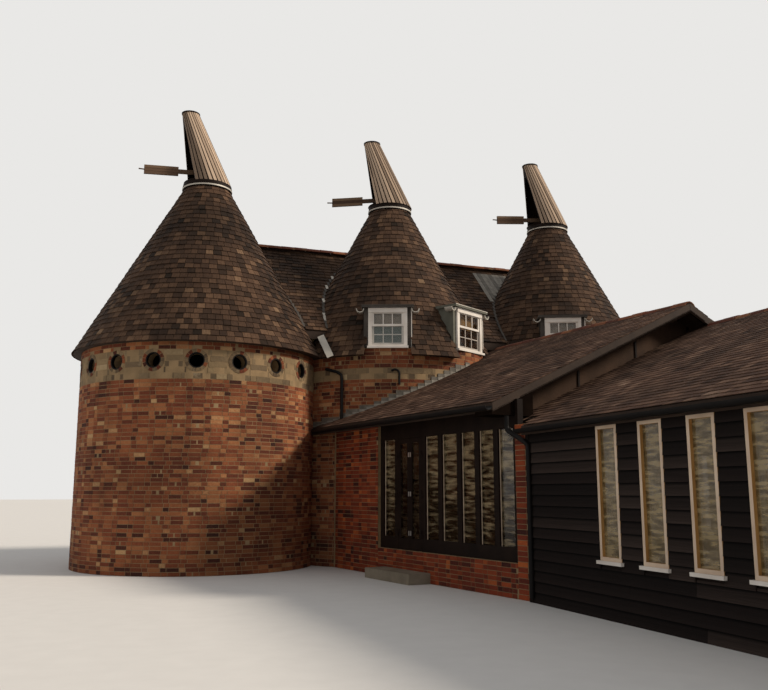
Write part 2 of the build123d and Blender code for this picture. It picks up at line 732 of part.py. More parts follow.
# Boarded range
head_z = range_top(range_west_x) - range_drop
inner_head_z = range_top(range_west_x + range_wall) - range_drop
window_lines = [window_first_y - step * window_pitch for step in range(window_count)]
for name, x_range, heads in (
    ("west", (range_west_x, range_west_x + range_wall), (head_z, inner_head_z)),
    ("east", (range_east_x - range_wall, range_east_x), (inner_head_z, head_z)),
):
    with BuildPart() as range_side:
        outline = [(x_range[0], 0), (x_range[1], 0), (x_range[1], heads[1]), (x_range[0], heads[0])]
        across(SITE, outline, (range_end_y, range_start_y))
        for line in window_lines:
            span = (line - window_width, line)
            block(SITE, x_range, span, (window_sill_z, window_head_z), Mode.SUBTRACT)
    save(range_side.part, f"range_{name}_wall")

with BuildPart() as range_south:
    inner_west, inner_east = range_west_x + range_wall, range_east_x - range_wall
    outline = [(inner_west, 0), (inner_east, 0), (inner_east, inner_head_z)]
    outline += [(range_ridge_x, range_ridge_z - range_drop), (inner_west, inner_head_z)]
    across(SITE, outline, (range_end_y, range_end_y + range_wall))
    for middle in (range_ridge_x - window_pitch, range_ridge_x + window_pitch):
        span = (middle - window_width / 2, middle + window_width / 2)
        block(SITE, span, (range_end_y, range_end_y + range_wall), (window_sill_z, window_head_z), Mode.SUBTRACT)
save(range_south.part, "range_south_wall")

for side, name in ((-1, "west"), (1, "east")):
    eave_x = range_ridge_x + side * (range_width / 2 + range_overhang)
    slab = [(range_ridge_x, range_ridge_z), (eave_x, range_top(eave_x))]
    slab += [(eave_x, range_top(eave_x) - range_drop), (range_ridge_x, range_ridge_z - range_drop)]
    with BuildPart() as range_slope_slab:
        across(SITE, slab, (range_end_y - range_verge, 0))
        clear_of_wing()
    save(range_slope_slab.part, f"range_roof_{name}")

# Window frames with their sills, and the glass
def framed_window(frame, outer_x, out, span):
    """Add a framed window with a projecting sill in a wall that faces along x."""
    face = outer_x + out * window_frame_proud
    back = face - out * window_frame_depth
    depth = (min(face, back), max(face, back))
    block(frame, depth, span, (window_sill_z, window_head_z))
    opening = (span[0] + window_frame, span[1] - window_frame)
    block(frame, depth, opening, (window_sill_z + window_frame, window_head_z - window_frame), Mode.SUBTRACT)
    nose = outer_x + out * window_sill_proud
    sill_x = (min(outer_x, nose), max(outer_x, nose))
    sill_y = (span[0] - window_sill_side, span[1] + window_sill_side)
    block(frame, sill_x, sill_y, (window_sill_z - window_sill_thickness, window_sill_z))


SOUTH = Plane(origin=(0, 0, 0), x_dir=(0, 1, 0), z_dir=(0, 0, 1))
with BuildPart() as range_frames:
    for line in window_lines:
        span = (line - window_width, line)
        framed_window(SITE, range_west_x, -1, span)
        framed_window(SITE, range_east_x, 1, span)
    for middle in (-range_ridge_x - window_pitch, -range_ridge_x + window_pitch):
        framed_window(SOUTH, range_end_y, -1, (middle - window_width / 2, middle + window_width / 2))
    for span in wing_windows:
        framed_window(WING, wing_width, 1, span)
save(range_frames.part, "range_window_frames")


def framed_pane(frame, outer_x, out, span):
    """Add the pane of a framed window."""
    middle = outer_x + out * (window_frame_proud - window_frame_depth / 2)
    depth = (middle - glass_thickness / 2, middle + glass_thickness / 2)
    opening = (span[0] + window_frame, span[1] - window_frame)
    block(frame, depth, opening, (window_sill_z + window_frame, window_head_z - window_frame))


with BuildPart() as panes:
    for line in window_lines:
        span = (line - window_width, line)
        framed_pane(SITE, range_west_x, -1, span)
        framed_pane(SITE, range_east_x, 1, span)
    for middle in (-range_ridge_x - window_pitch, -range_ridge_x + window_pitch):
        framed_pane(SOUTH, range_end_y, -1, (middle - window_width / 2, middle + window_width / 2))
    for span in wing_windows:
        framed_pane(WING, wing_width, 1, span)
    for column in (-1, 0, 1):
        for sill in rear_window_sills:
            middle = column * rear_window_pitch
            half = rear_window_width / 2 - dormer_frame
            depth = stowage_back_y - dormer_frame_depth / 2
            block(
                SITE,
                (middle - half, middle + half),
                (depth - glass_thickness / 2, depth + glass_thickness / 2),
                (sill + dormer_frame, sill + rear_window_height - dormer_frame),
            )
    for kiln, angle, sill, width, height in dormers.values():
        middle = dormer_front - dormer_frame_depth / 2 - glass_thickness / 2
        with BuildSketch(facing(kiln, angle, middle, sill)) as sheet:
            with Locations((0, height / 2)):
                Rectangle(width - 2 * dormer_frame, height - 2 * dormer_frame)
        extrude(sheet.sketch, amount=glass_thickness)
save(panes.part, "window_glass")

# Floors
with BuildPart() as floors:
    slab_z = (floor_z - floor_thickness, floor_z)
    block(SITE, (range_west_x + range_wall, range_east_x - range_wall), (range_end_y + range_wall, -3000), slab_z)
    block(WING, (-far, far), (wing_gable_y, far), (0, far), Mode.SUBTRACT)
    block(WING, (wing_wall, wing_width - wing_wall), (wing_gable_y, wing_back_y), slab_z)
    clear_of_stowage()
    block(WING, (0, wing_wall), (pier_front_y, glazing_end_y), (0, floor_z), Mode.SUBTRACT)
save(floors.part, "wing_floors")

# Ridge tiles
def ridge_cap(frame, middle, top, slope, run, make):
    """Add a run of ridge tiles astride a ridge."""
    lift = ridge_thickness * sqrt(1 + slope**2)
    outline = [(middle, top), (middle - ridge_leg, top - ridge_leg * slope)]
    outline += [(middle - ridge_leg, top - ridge_leg * slope + lift), (middle, top + lift)]
    outline += [(middle + ridge_leg, top - ridge_leg * slope + lift), (middle + ridge_leg, top - ridge_leg * slope)]
    make(frame, outline, run)


with BuildPart() as ridges:
    stowage_run = (-stowage_half_length - stowage_overhang, stowage_half_length + stowage_overhang)
    ridge_cap(SITE, stowage_ridge_y, stowage_ridge_z, stowage_tan, stowage_run, along)
    wing_run = (wing_verge_y, wing_back_y + wing_wall + wing_back_overhang)
    ridge_cap(WING, wing_ridge_x, wing_ridge_z, wing_slope, wing_run, across)
    for kiln in range(3):
        kiln_space(kiln)
    ridge_end = stowage_front_y - stowage_overhang
    block(SITE, (-2 * kiln_spacing, 2 * kiln_spacing), (ridge_end, 0), (0, far), Mode.SUBTRACT)
    with BuildPart(mode=Mode.PRIVATE) as range_ridge:
        ridge_cap(SITE, range_ridge_x, range_ridge_z, range_slope, (range_end_y - range_verge, 0), across)
        clear_of_wing()
    add(range_ridge.part)
save(ridges.part, "ridge_tiles")


# Gutters and downpipes
def gutter(frame, edge_x, out, top_z, run):
    """Add a half-round gutter against an eave."""
    centre = edge_x + out * gutter_radius
    upright = Plane(
        origin=frame.from_local_coords(Vector(centre, run[0], top_z)),
        x_dir=frame.x_dir,
        z_dir=-frame.y_dir,
    )
    with BuildSketch(upright) as section:
        Circle(gutter_radius)
        Circle(gutter_radius - gutter_thickness, mode=Mode.SUBTRACT)
        with Locations((0, gutter_radius)):
            Rectangle(4 * gutter_radius, 2 * gutter_radius, mode=Mode.SUBTRACT)
    extrude(section.sketch, amount=-(run[1] - run[0]))


with BuildPart() as gutters:
    wing_eave = (-wing_overhang, wing_width + wing_overhang)
    for edge, out, start in zip(wing_eave, (-1, 1), (wing_verge_y, wing_gable_y)):
        gutter(WING, edge, out, wing_top(edge) - wing_drop / 2, (start, wing_back_y))
    for edge, out in ((range_west_x - range_overhang, -1), (range_east_x + range_overhang, 1)):
        gutter(SITE, edge, out, range_top(edge) - range_drop / 2, (range_end_y - range_verge, range_start_y))
    clear_of_stowage()
save(gutters.part, "gutters")

def verge_boards(frame, ridge, half, slope, run):
    """Add the two bargeboards of a verge, hung from the underside of the slabs."""
    ridge_x, ridge_z = ridge
    thickness = roof_thickness * sqrt(1 + slope**2)
    for side in (-1, 1):
        edge_x, edge_z = ridge_x + side * half, ridge_z - slope * half
        board = [(ridge_x, ridge_z - thickness), (edge_x, edge_z - thickness)]
        board += [(edge_x, edge_z - fascia_height), (ridge_x, ridge_z - fascia_height)]
        across(frame, board, run)


# Bargeboards under the verges, and the boxed eave that returns round the glazed wing's corner
with BuildPart() as bargeboards:
    wing_half = wing_ridge_x + wing_overhang
    run = (wing_verge_y, wing_verge_y + fascia_thickness)
    verge_boards(WING, (wing_ridge_x, wing_ridge_z), wing_half, wing_slope, run)
    box_end = eave_box_length - wing_overhang
    soffit = [(x, wing_top(x) - wing_drop) for x in (-wing_overhang, box_end)]
    boxed = [(-wing_overhang, eave_box_foot_z), (box_end, eave_box_foot_z), *reversed(soffit)]
    across(WING, boxed, (wing_verge_y, wing_gable_y))
    block(WING, frame_x, (pier_back_y, glazing_end_y), (0, far), Mode.SUBTRACT)
    range_half = range_width / 2 + range_overhang
    under = [(range_ridge_x + side * range_half, range_top(range_ridge_x + range_half)) for side in (1, -1)]
    under = [(range_ridge_x, range_ridge_z), under[0], (under[0][0], 0), (under[1][0], 0), under[1]]
    across(SITE, under, (range_end_y, 0), Mode.SUBTRACT)
    cap = (range_ridge_x - ridge_leg, range_ridge_x + ridge_leg)
    block(SITE, cap, (range_end_y, 0), (0, range_ridge_z + 2 * ridge_thickness), Mode.SUBTRACT)
    run = (range_end_y - range_verge, range_end_y - range_verge + fascia_thickness)
    verge_boards(SITE, (range_ridge_x, range_ridge_z), range_half, range_slope, run)
save(bargeboards.part, "bargeboards")


def round_pipe(frame, route, bend, radius):
    """Add a round pipe along a route of straight runs with one bend radius."""
    places = [frame.from_local_coords(Vector(*place)) for place in route]
    with BuildLine() as centre_line:
        FilletPolyline(*places, radius=bend)
    with BuildSketch(Plane(origin=centre_line.line @ 0, z_dir=centre_line.line % 0)) as section:
        Circle(radius)
    sweep(section.sketch, path=centre_line.line)


# Downpipe at the glazed wing's corner, with its swan neck, and the overflow on the middle kiln
with BuildPart() as downpipes:
    standing = -pipe_stand_off
    route = [(standing, pipe_top_y, eave_box_foot_z), (standing, pipe_top_y, pipe_neck[0])]
    route += [(standing, pipe_foot_y, pipe_neck[1]), (standing, pipe_foot_y, pipe_foot_z)]
    round_pipe(WING, route, pipe_bend, pipe_radius)
save(downpipes.part, "downpipes")

with BuildPart() as overflow:
    turn, level = overflow_place
    mouth = facing(1, turn, kiln_radius[1], level)
    side = Plane(origin=mouth.origin, x_dir=mouth.z_dir, z_dir=Vector(0, 0, 1))
    route = [(0, 0, 0), (overflow_reach, 0, 0), (overflow_reach, 0, -overflow_drop)]
    round_pipe(side, route, 2.5 * overflow_radius, overflow_radius)
save(overflow.part, "overflow_pipe")

with BuildPart() as doorstep:
    middle = door_middle_y
    block(WING, (-step_depth, 0), (middle - step_length / 2, middle + step_length / 2), (0, step_height))
save(doorstep.part, "doorstep")
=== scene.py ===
"""Oast house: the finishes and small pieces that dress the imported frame, in metres."""
import json
import logging
import math
import random
from dataclasses import dataclass, field
from enum import Enum
from typing import Callable, ClassVar, Iterator, Sequence

import bmesh
import bpy
from mathutils import Matrix, Vector


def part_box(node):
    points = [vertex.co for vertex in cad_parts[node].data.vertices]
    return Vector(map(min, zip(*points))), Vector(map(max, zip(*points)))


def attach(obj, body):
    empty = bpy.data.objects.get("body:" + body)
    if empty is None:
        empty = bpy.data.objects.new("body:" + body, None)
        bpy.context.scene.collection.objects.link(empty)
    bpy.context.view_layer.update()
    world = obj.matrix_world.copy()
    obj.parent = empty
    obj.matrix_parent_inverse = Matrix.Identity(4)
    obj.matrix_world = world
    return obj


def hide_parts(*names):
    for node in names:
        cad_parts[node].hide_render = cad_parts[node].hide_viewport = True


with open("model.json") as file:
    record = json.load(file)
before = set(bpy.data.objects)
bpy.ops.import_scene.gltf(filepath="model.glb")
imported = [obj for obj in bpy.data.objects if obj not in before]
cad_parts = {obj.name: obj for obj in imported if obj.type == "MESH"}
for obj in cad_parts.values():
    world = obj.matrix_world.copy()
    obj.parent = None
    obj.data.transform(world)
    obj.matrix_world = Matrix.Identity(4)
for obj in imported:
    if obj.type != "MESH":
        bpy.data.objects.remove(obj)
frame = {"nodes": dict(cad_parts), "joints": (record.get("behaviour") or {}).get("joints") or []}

LOG = logging.getLogger("oast_house")
UP = Vector((0, 0, 1))
Span = tuple[float, float]
Test = Callable[[Vector], bool]
Tree = bpy.types.NodeTree
Socket = bpy.types.NodeSocket


class Slot(Enum):
    """The record's material slots, named for the kinds of pieces."""

    BRICK = "brick"
    TILE = "roof_tile"
    COWL = "cowl_boards"
    BOARD = "weatherboard"
    PAINT = "painted_timber"
    TIMBER = "dark_timber"
    LEAD = "lead"
    IRON = "iron"


class Grain(Enum):
    """Which way of a board's own map its grain runs."""

    ALONG = 0
    UPRIGHT = 1


def linear(code: str) -> tuple[float, float, float, float]:
    """Turn an sRGB hex code into the linear colour that a shader takes.

    Args:
        code: Six hex digits, such as "8a5a3c".

    Returns:
        Red, green, blue and an alpha of 1.
    """
    channels = [int(code[place:place + 2], 16) / 255 for place in (0, 2, 4)]
    red, green, blue = (c / 12.92 if c <= 0.04045 else ((c + 0.055) / 1.055) ** 2.4 for c in channels)
    return red, green, blue, 1.0


def toward(angle: float) -> Vector:
    """Give the level direction at an angle from +X toward +Y, in radians."""
    return Vector((math.cos(angle), math.sin(angle), 0))


def add_node(tree: Tree, kind: str, inputs: dict | None = None, **settings) -> bpy.types.Node:
    """Add a node to a material, with its settings and its links.

    Args:
        tree: The material's node tree.
        kind: The node's type, without the leading "ShaderNode".
        inputs: Values or output sockets for the node's inputs, by name or number.
        **settings: Attributes of the node. "stops" fills a colour ramp.

    Returns:
        The new node.
    """
    node = tree.nodes.new("ShaderNode" + kind)
    stops = settings.pop("stops", ())
    if stops:
        ramp = node.color_ramp.elements
        ramp.remove(ramp[1])
        ramp[0].color = linear(stops[0][1])
        for place, code in stops[1:]:
            ramp.new(place).color = linear(code)
    for key, value in settings.items():
        setattr(node, key, value)
    for key, value in (inputs or {}).items():
        if isinstance(value, Socket):
            tree.links.new(value, node.inputs[key])
        else:
            node.inputs[key].default_value = value
    return node


def own_place(tree: Tree) -> Socket:
    """Give each point's place in its object's frame."""
    return add_node(tree, "TexCoord").outputs["Object"]


def laid_place(tree: Tree, scale: Sequence[float]) -> Socket:
    """Give each point's place on its piece's own map, stretched."""
    laid = add_node(tree, "UVMap", uv_map="laid").outputs[0]
    return add_node(tree, "Mapping", {"Vector": laid, "Scale": scale}).outputs[0]


def own_tone(tree: Tree) -> Socket:
    """Give the tone of the piece."""
    return add_node(tree, "Attribute", attribute_name="tone").outputs["Fac"]


def noise(tree: Tree, place: Socket, scale: float = 1.0, detail: float = 2.0, rough: float = 0.5) -> Socket:
    """Draw noise over a place."""
    inputs = {"Vector": place, "Scale": scale, "Detail": detail, "Roughness": rough}
    return add_node(tree, "TexNoise", inputs).outputs[0]


def sums(tree: Tree, operation: str, *values: Socket | float) -> Socket:
    """Work out one sum from sockets and numbers."""
    return add_node(tree, "Math", dict(enumerate(values)), operation=operation).outputs[0]


def ranged(tree: Tree, value: Socket, given: Span, wanted: Span = (0.0, 1.0)) -> Socket:
    """Carry a value from one range over to another, and hold it there."""
    return add_node(tree, "MapRange", dict(enumerate((value, *given, *wanted)))).outputs[0]


def blend(
    tree: Tree, share: Socket | float, first: Socket, second: Socket | Sequence, kind: str = "MIX"
) -> Socket:
    """Mix or multiply two colours."""
    inputs = {0: share, 6: first, 7: second}
    return add_node(tree, "Mix", inputs, data_type="RGBA", blend_type=kind).outputs[2]


def shaded(tree: Tree, share: Socket, stops: Sequence[tuple[float, str]]) -> Socket:
    """Pick a colour from a ramp."""
    return add_node(tree, "ValToRGB", {"Fac": share}, stops=stops).outputs[0]


@dataclass(frozen=True)
class Finish:
    """A real material: its name, how rough, metallic and glossy it is, and how deep its relief is."""

    name: str
    rough: float = 0.8
    metallic: float = 0.0
    relief: float = 0.004
    sheen: float = 0.25
    cache: ClassVar[dict] = {}

    def colour(self, tree: Tree) -> Socket:
        """Draw the finish's colour and return its socket."""
        raise NotImplementedError

    def height(self, tree: Tree) -> Socket | None:
        """Draw the finish's relief and return its socket, or None for a smooth one."""
        return None

    def shader(self, tree: Tree) -> bpy.types.Node:
        """Draw the whole surface: its colour, its gloss and its relief."""
        inputs = {
            "Base Color": self.colour(tree),
            "Roughness": self.rough,
            "Metallic": self.metallic,
            "Specular IOR Level": self.sheen,
        }
        height = self.height(tree)
        if height is not None:
            relief = {"Height": height, "Strength": 1.0, "Distance": self.relief}
            inputs["Normal"] = add_node(tree, "Bump", relief).outputs[0]
        return add_node(tree, "BsdfPrincipled", inputs)

    def make(self) -> bpy.types.Material:
        """Make the material once and return it each time."""
        if self.name not in Finish.cache:
            material = bpy.data.materials.new(self.name)
            material.use_nodes = True
            tree = material.node_tree
            tree.nodes.clear()
            add_node(tree, "OutputMaterial", {"Surface": self.shader(tree).outputs[0]})
            Finish.cache[self.name] = material
        return Finish.cache[self.name]


@dataclass(frozen=True)
class Speckled(Finish):
    """A finish whose pieces each have a tone, under patches of growth or bleaching."""

    tones: tuple[tuple[float, str], ...] = ((0.0, "50402f"), (1.0, "806a50"))
    patch: str = "8f8a6a"
    patch_size: float = 0.5
    patch_share: float = 0.35
    grain_size: float = 0.03
    stain: float = 0.35
    damp: float = 0.0
    damp_size: float = 1.3
    streak: float = 0.0
    rain: ClassVar[tuple[float, float, float]] = (60.0, 2.5, 1.0)
    patch_edge: ClassVar[Span] = (0.72, 0.86)
    patch_spread: ClassVar[float] = 0.4
    damp_edge: ClassVar[Span] = (0.38, 0.60)

    def colour(self, tree: Tree) -> Socket:
        """Mix each piece's tone with grain, rain streaks and soft-edged patches, darker where it is damp."""
        place = own_place(tree)
        grain = noise(tree, place, 1 / self.grain_size, 4.0)
        stained = sums(tree, "MULTIPLY_ADD", grain, self.stain, own_tone(tree))
        rain = noise(tree, laid_place(tree, self.rain), detail=4.0)
        streaked = sums(tree, "MULTIPLY_ADD", rain, self.streak, stained)
        centred = sums(tree, "SUBTRACT", streaked, (self.stain + self.streak) / 2)
        cloud = noise(tree, place, 1 / self.patch_size, 8.0, 0.7)
        low, high = self.patch_edge
        shift = self.patch_share * self.patch_spread
        edge = ranged(tree, cloud, (low - shift, high - shift))
        patched = blend(tree, edge, shaded(tree, centred, self.tones), linear(self.patch))
        wet = noise(tree, place, 1 / self.damp_size, 5.0)
        dim = ranged(tree, wet, self.damp_edge, (1 - self.damp, 1.0))
        return blend(tree, 1.0, patched, dim, "MULTIPLY")

    def height(self, tree: Tree) -> Socket:
        """Draw the pits and grit of the surface."""
        return noise(tree, own_place(tree), 1 / self.grain_size, 6.0)


@dataclass(frozen=True)
class Grained(Finish):
    """Timber whose grain follows the piece's own length, with a tone for each board."""

    tones: tuple[tuple[float, str], ...] = ((0.0, "2a2521"), (1.0, "3c342e"))
    grain_width: float = 0.012
    grain_length: float = 0.5
    contrast: float = 0.5
    lengthwise: Grain = Grain.UPRIGHT
    # The pitch of the laps that get painted shadow beneath and painted light on their lower edges; 0 paints
    # none
    course: float = 0.0
    painted_lap_shadow: ClassVar[tuple[Span, Span]] = ((0.74, 0.93), (1.0, 0.10))
    painted_edge_light: ClassVar[tuple[Span, Span]] = ((0.0, 0.5), (1.7, 1.0))

    def height(self, tree: Tree) -> Socket:
        """Draw noise stretched along the board."""
        scale = [1 / self.grain_width, 1 / self.grain_width, 1.0]
        scale[self.lengthwise.value] = 1 / self.grain_length
        return noise(tree, laid_place(tree, scale), detail=5.0)

    def colour(self, tree: Tree) -> Socket:
        """Shift each board's tone by the grain, and add painted shade and light on the laps where a course is
        set.
        """
        shifted = sums(tree, "MULTIPLY_ADD", self.height(tree), self.contrast, own_tone(tree))
        shade = shaded(tree, sums(tree, "SUBTRACT", shifted, self.contrast / 2), self.tones)
        return self.painted_lap_shade(tree, shade) if self.course else shade

    def painted_lap_shade(self, tree: Tree, shade: Socket) -> Socket:
        """Darken boards under each lap with painted shadow, and pale their lower edges with painted light."""
        level = add_node(tree, "SeparateXYZ", {0: own_place(tree)}).outputs["Z"]
        share = sums(tree, "FRACT", sums(tree, "MULTIPLY", level, 1 / self.course))
        # Painted shadow just under each lap, and painted light on each board's lower edge, both by height
        lap_shadow, edge_light = ranged(tree, share, *self.painted_lap_shadow), ranged(tree, share, *self.painted_edge_light)
        return blend(tree, 1.0, shade, sums(tree, "MULTIPLY", lap_shadow, edge_light), "MULTIPLY")


@dataclass(frozen=True)
class Washed(Finish):
    """A plain coat or metal, a little uneven in colour."""

    base: str = "808080"
    other: str = "707070"
    cloud_size: float = 0.3
    pit_size: float = 0.02

    def colour(self, tree: Tree) -> Socket:
        """Drift slowly between two near colours."""
        cloud = noise(tree, own_place(tree), 1 / self.cloud_size, 6.0)
        return shaded(tree, cloud, ((0.0, self.base), (0.3, self.base), (0.7, self.other), (1.0, self.other)))

    def height(self, tree: Tree) -> Socket:
        """Draw shallow pits."""
        return noise(tree, own_place(tree), 1 / self.pit_size)


@dataclass(frozen=True)
class Glazing(Finish):
    """Drawn window glass: clear, very smooth, and veiled by a painted reflection in its colour, which dims
    toward its foot.
    """

    rough: float = 0.03
    tint: str = "c9d3d2"
    other: str = "c9d3d2"
    veil: float = 0.35
    grid: tuple[float, float, float] = (5.0, 5.0, 14.0)
    fade: Span = (-2.0, -1.0)
    dimmed: ClassVar[Span] = (-0.10, 0.02)

    def shader(self, tree: Tree) -> bpy.types.Node:
        """Make thin glass as a clear sheet with a gloss on it."""
        place = own_place(tree)
        level = add_node(tree, "SeparateXYZ", {0: place}).outputs["Z"]
        flat = add_node(tree, "Mapping", {"Vector": place, "Scale": self.grid}).outputs[0]
        # Painted reflection: noise stretched along the courses, darker toward the foot
        cloud = sums(tree, "ADD", noise(tree, flat, detail=6.0), ranged(tree, level, self.fade, self.dimmed))
        stops = ((0.0, self.tint), (0.42, self.tint), (0.62, self.other), (1.0, self.other))
        shade = shaded(tree, cloud, stops)
        inputs = {"Base Color": shade, "Roughness": self.rough, "IOR": 1.5, "Alpha": self.veil}
        return add_node(tree, "BsdfPrincipled", inputs)


# Hand-made clay tiles: dark with soot and damp, and rubbed paler in streaks where the rain runs
KILN_TILE = Speckled(
    "weathered_clay_tile",
    rough=0.85,
    sheen=0.15,
    tones=((0.0, "20170f"), (0.3, "38291f"), (0.6, "523d2e"), (0.85, "6c5440"), (1.0, "846b52")),
    patch="7f6a50",
    patch_size=0.25,
    patch_share=0.12,
    damp=0.5,
    streak=0.5,
)
# The same tiles on the low roofs: flatter in tone, spotted with grey lichen and greened by moss
LOW_TILE = Speckled(
    "lichened_clay_tile",
    rough=0.88,
    sheen=0.08,
    tones=((0.0, "33231b"), (0.4, "503b30"), (0.7, "6a5243"), (1.0, "8b7260")),
    patch="a39a84",
    patch_size=0.06,
    patch_share=0.14,
    damp=0.45,
    damp_size=0.9,
    streak=0.3,
)
# Soft stock bricks, from plum through orange to buff, with the dirt of the kilns' smoke in them
RED_BRICK = Speckled(
    "stock_brick",
    rough=0.9,
    tones=((0.0, "3f2118"), (0.3, "713a26"), (0.55, "8e5233"), (0.8, "a46c45"), (1.0, "b99469")),
    patch="a98d66",
    patch_size=0.22,
    patch_share=0.10,
    damp=0.4,
)
# Newer, harder red bricks of the glazed wing
WING_BRICK = Speckled(
    "hard_red_brick",
    rough=0.85,
    tones=((0.0, "3a1710"), (0.4, "76301b"), (0.8, "9c4724"), (1.0, "b5602f")),
    patch="8a6a4c",
    patch_size=0.3,
    patch_share=0.06,
    damp=0.35,
)
# Rough grey and buff blocks under a thin old lime wash
SANDSTONE = Speckled(
    "sandstone_block",
    rough=0.92,
    tones=((0.0, "5b4b3a"), (0.4, "7d6a51"), (0.7, "97805f"), (1.0, "b7a07c")),
    patch="b3a083",
    patch_size=0.35,
    patch_share=0.30,
    grain_size=0.05,
    damp=0.35,
)
# Half-round tiles of a redder clay, mottled with buff lichen on their crowns
RIDGE_TILE = Speckled(
    "red_clay_ridge_tile",
    rough=0.85,
    tones=((0.0, "452318"), (0.5, "6b3a28"), (1.0, "8d5838")),
    patch="9a8158",
    patch_size=0.2,
    patch_share=0.4,
    damp=0.4,
)
# Sandy buff mortar, set back in the joints and darkened by damp
LIME_MORTAR = Washed("lime_mortar", rough=0.95, base="99805f", other="7a664b", relief=0.003)
# Black-stained softwood boards, brown where the stain has thinned, with painted shadow under each lap and
# painted light on each lower edge
BLACK_BOARD = Grained(
    "black_weatherboard",
    rough=0.75,
    sheen=0.08,
    tones=((0.0, "0d0a09"), (0.6, "1b1513"), (1.0, "302824")),
    lengthwise=Grain.ALONG,
    course=0.145,
)
# Bare boards gone silver-grey in the weather
SILVER_BOARD = Grained(
    "silvered_oak_board",
    tones=((0.0, "4a3b30"), (0.45, "917d6a"), (1.0, "c2aa92")),
    contrast=0.6,
)
# Vane boards under the rust of their fixings
RUSTY_BOARD = Grained(
    "rust_stained_board",
    rough=0.85,
    tones=((0.0, "3a2a20"), (0.5, "624c3b"), (1.0, "857059")),
    contrast=0.6,
    lengthwise=Grain.ALONG,
)
# Near-black stained joinery, and the sheets behind it, which the sun has browned
DARK_TIMBER = Washed(
    "dark_stained_timber", rough=0.6, base="140d0a", other="211712", relief=0.001, sheen=0.08
)
GABLE_SHEET = Washed("brown_stained_sheet", base="30231a", other="4a372a", cloud_size=0.5, sheen=0.1)
# Dull tar that gives back almost no light
TARRED_BOARD = Washed("tarred_board", rough=0.95, base="100b09", other="1b1410", relief=0.001, sheen=0.0)
# Bare oak gone brown, and the softwood that shows between loose tiles
WEATHERED_TIMBER = Washed("weathered_oak", base="463629", other="5e4a39", relief=0.001)
BARE_BATTEN = Washed("softwood_batten", base="3a2c22", other="2c211a")
# Old white gloss, yellowed a little in the shade
WHITE_PAINT = Washed("white_gloss_paint", rough=0.4, base="e6dfd6", other="d3cabf", relief=0.0006)
# Planed oak of the window frames: limed outside, still golden in the reveals
LIMED_OAK = Washed("limed_oak", rough=0.6, base="dfc9b0", other="c6ae97", relief=0.001)
GOLDEN_OAK = Washed("golden_oak", rough=0.5, base="a07440", other="bb8f55", relief=0.001)
# Sheet lead: brown-grey on the casings, pale from the rain, greened, streaked in the saddle, dull in steps
LEAD_SHEET = Washed(
    "weathered_lead_sheet", rough=0.7, metallic=0.1, base="3a3530", other="524c46", relief=0.002
)
PALE_LEAD = Washed("pale_lead_sheet", rough=0.5, metallic=0.2, base="a39d92", other="c2bcb0", relief=0.003)
GREEN_LEAD = Washed(
    "greened_lead_sheet", rough=0.7, metallic=0.1, base="56564c", other="68675c", relief=0.002
)
SADDLE_LEAD = Washed("streaked_lead", rough=0.6, metallic=0.1, base="8b857b", other="6c665d", cloud_size=0.12)
STEPPED_LEAD = Washed("stepped_lead", rough=0.6, metallic=0.1, base="4d4840", other="6c665d", cloud_size=0.15)
# Black paint on cast iron, with the faint gloss of an old coat
BLACK_IRON = Washed("painted_cast_iron", rough=0.55, base="0b0a0a", other="161312", relief=0.0008, sheen=0.12)
# Bright plated steel, the only new metal on the doors
ZINC_PLATE = Washed("zinc_plated_steel", rough=0.35, metallic=0.7, base="c9c6c0", other="a9a6a0", relief=0.0)
# Worn grey-buff flags
STONE_FLAG = Washed("stone_flag", rough=0.85, base="8f8574", other="756b5b")
# A plain pale floor to stand on, without a pattern
PALE_FLOOR = Washed("pale_floor", rough=0.9, base="dcdad6", other="d8d6d2", relief=0.0)
# Glass with a painted reflection of the pale stone courses before it, over painted shade of dark rooms
WINDOW_GLASS = Glazing(
    "drawn_window_glass", tint="2f2518", other="a89573", veil=0.55, grid=(3.0, 3.0, 18.0), fade=(0.8, 1.9)
)
# Glass painted with the shade of the room behind it, and the light of the warm one, under a painted
# reflection: a porch, a warm room, a dim one and an unlit one
DOOR_GLASS = Glazing("glass_before_dark_porch", tint="1a130d", other="4c3f2e", veil=0.45)
OAK_ROOM_GLASS = Glazing(
    "glass_before_warm_room", tint="655437", other="ad9970", veil=0.6, grid=(4.0, 4.0, 24.0)
)
SASH_GLASS = Glazing("glass_before_dim_room", tint="6f7876", other="7c8482", veil=0.25)
DARK_SASH_GLASS = Glazing("glass_before_dark_room", tint="2b2019", other="4a3526", veil=0.25)
# Woven blinds and a net, all matt: pinkish linen, straw, and greyed white
LINEN_BLIND = Washed("linen_blind", rough=0.9, base="cdb6a0", other="bfa78f", pit_size=0.004)
GOLDEN_BLIND = Washed("straw_blind", rough=0.9, base="b08a4e", other="94713c", pit_size=0.004)
NET_CURTAIN = Washed("net_curtain", rough=0.9, base="8d9790", other="7c877f", pit_size=0.004)

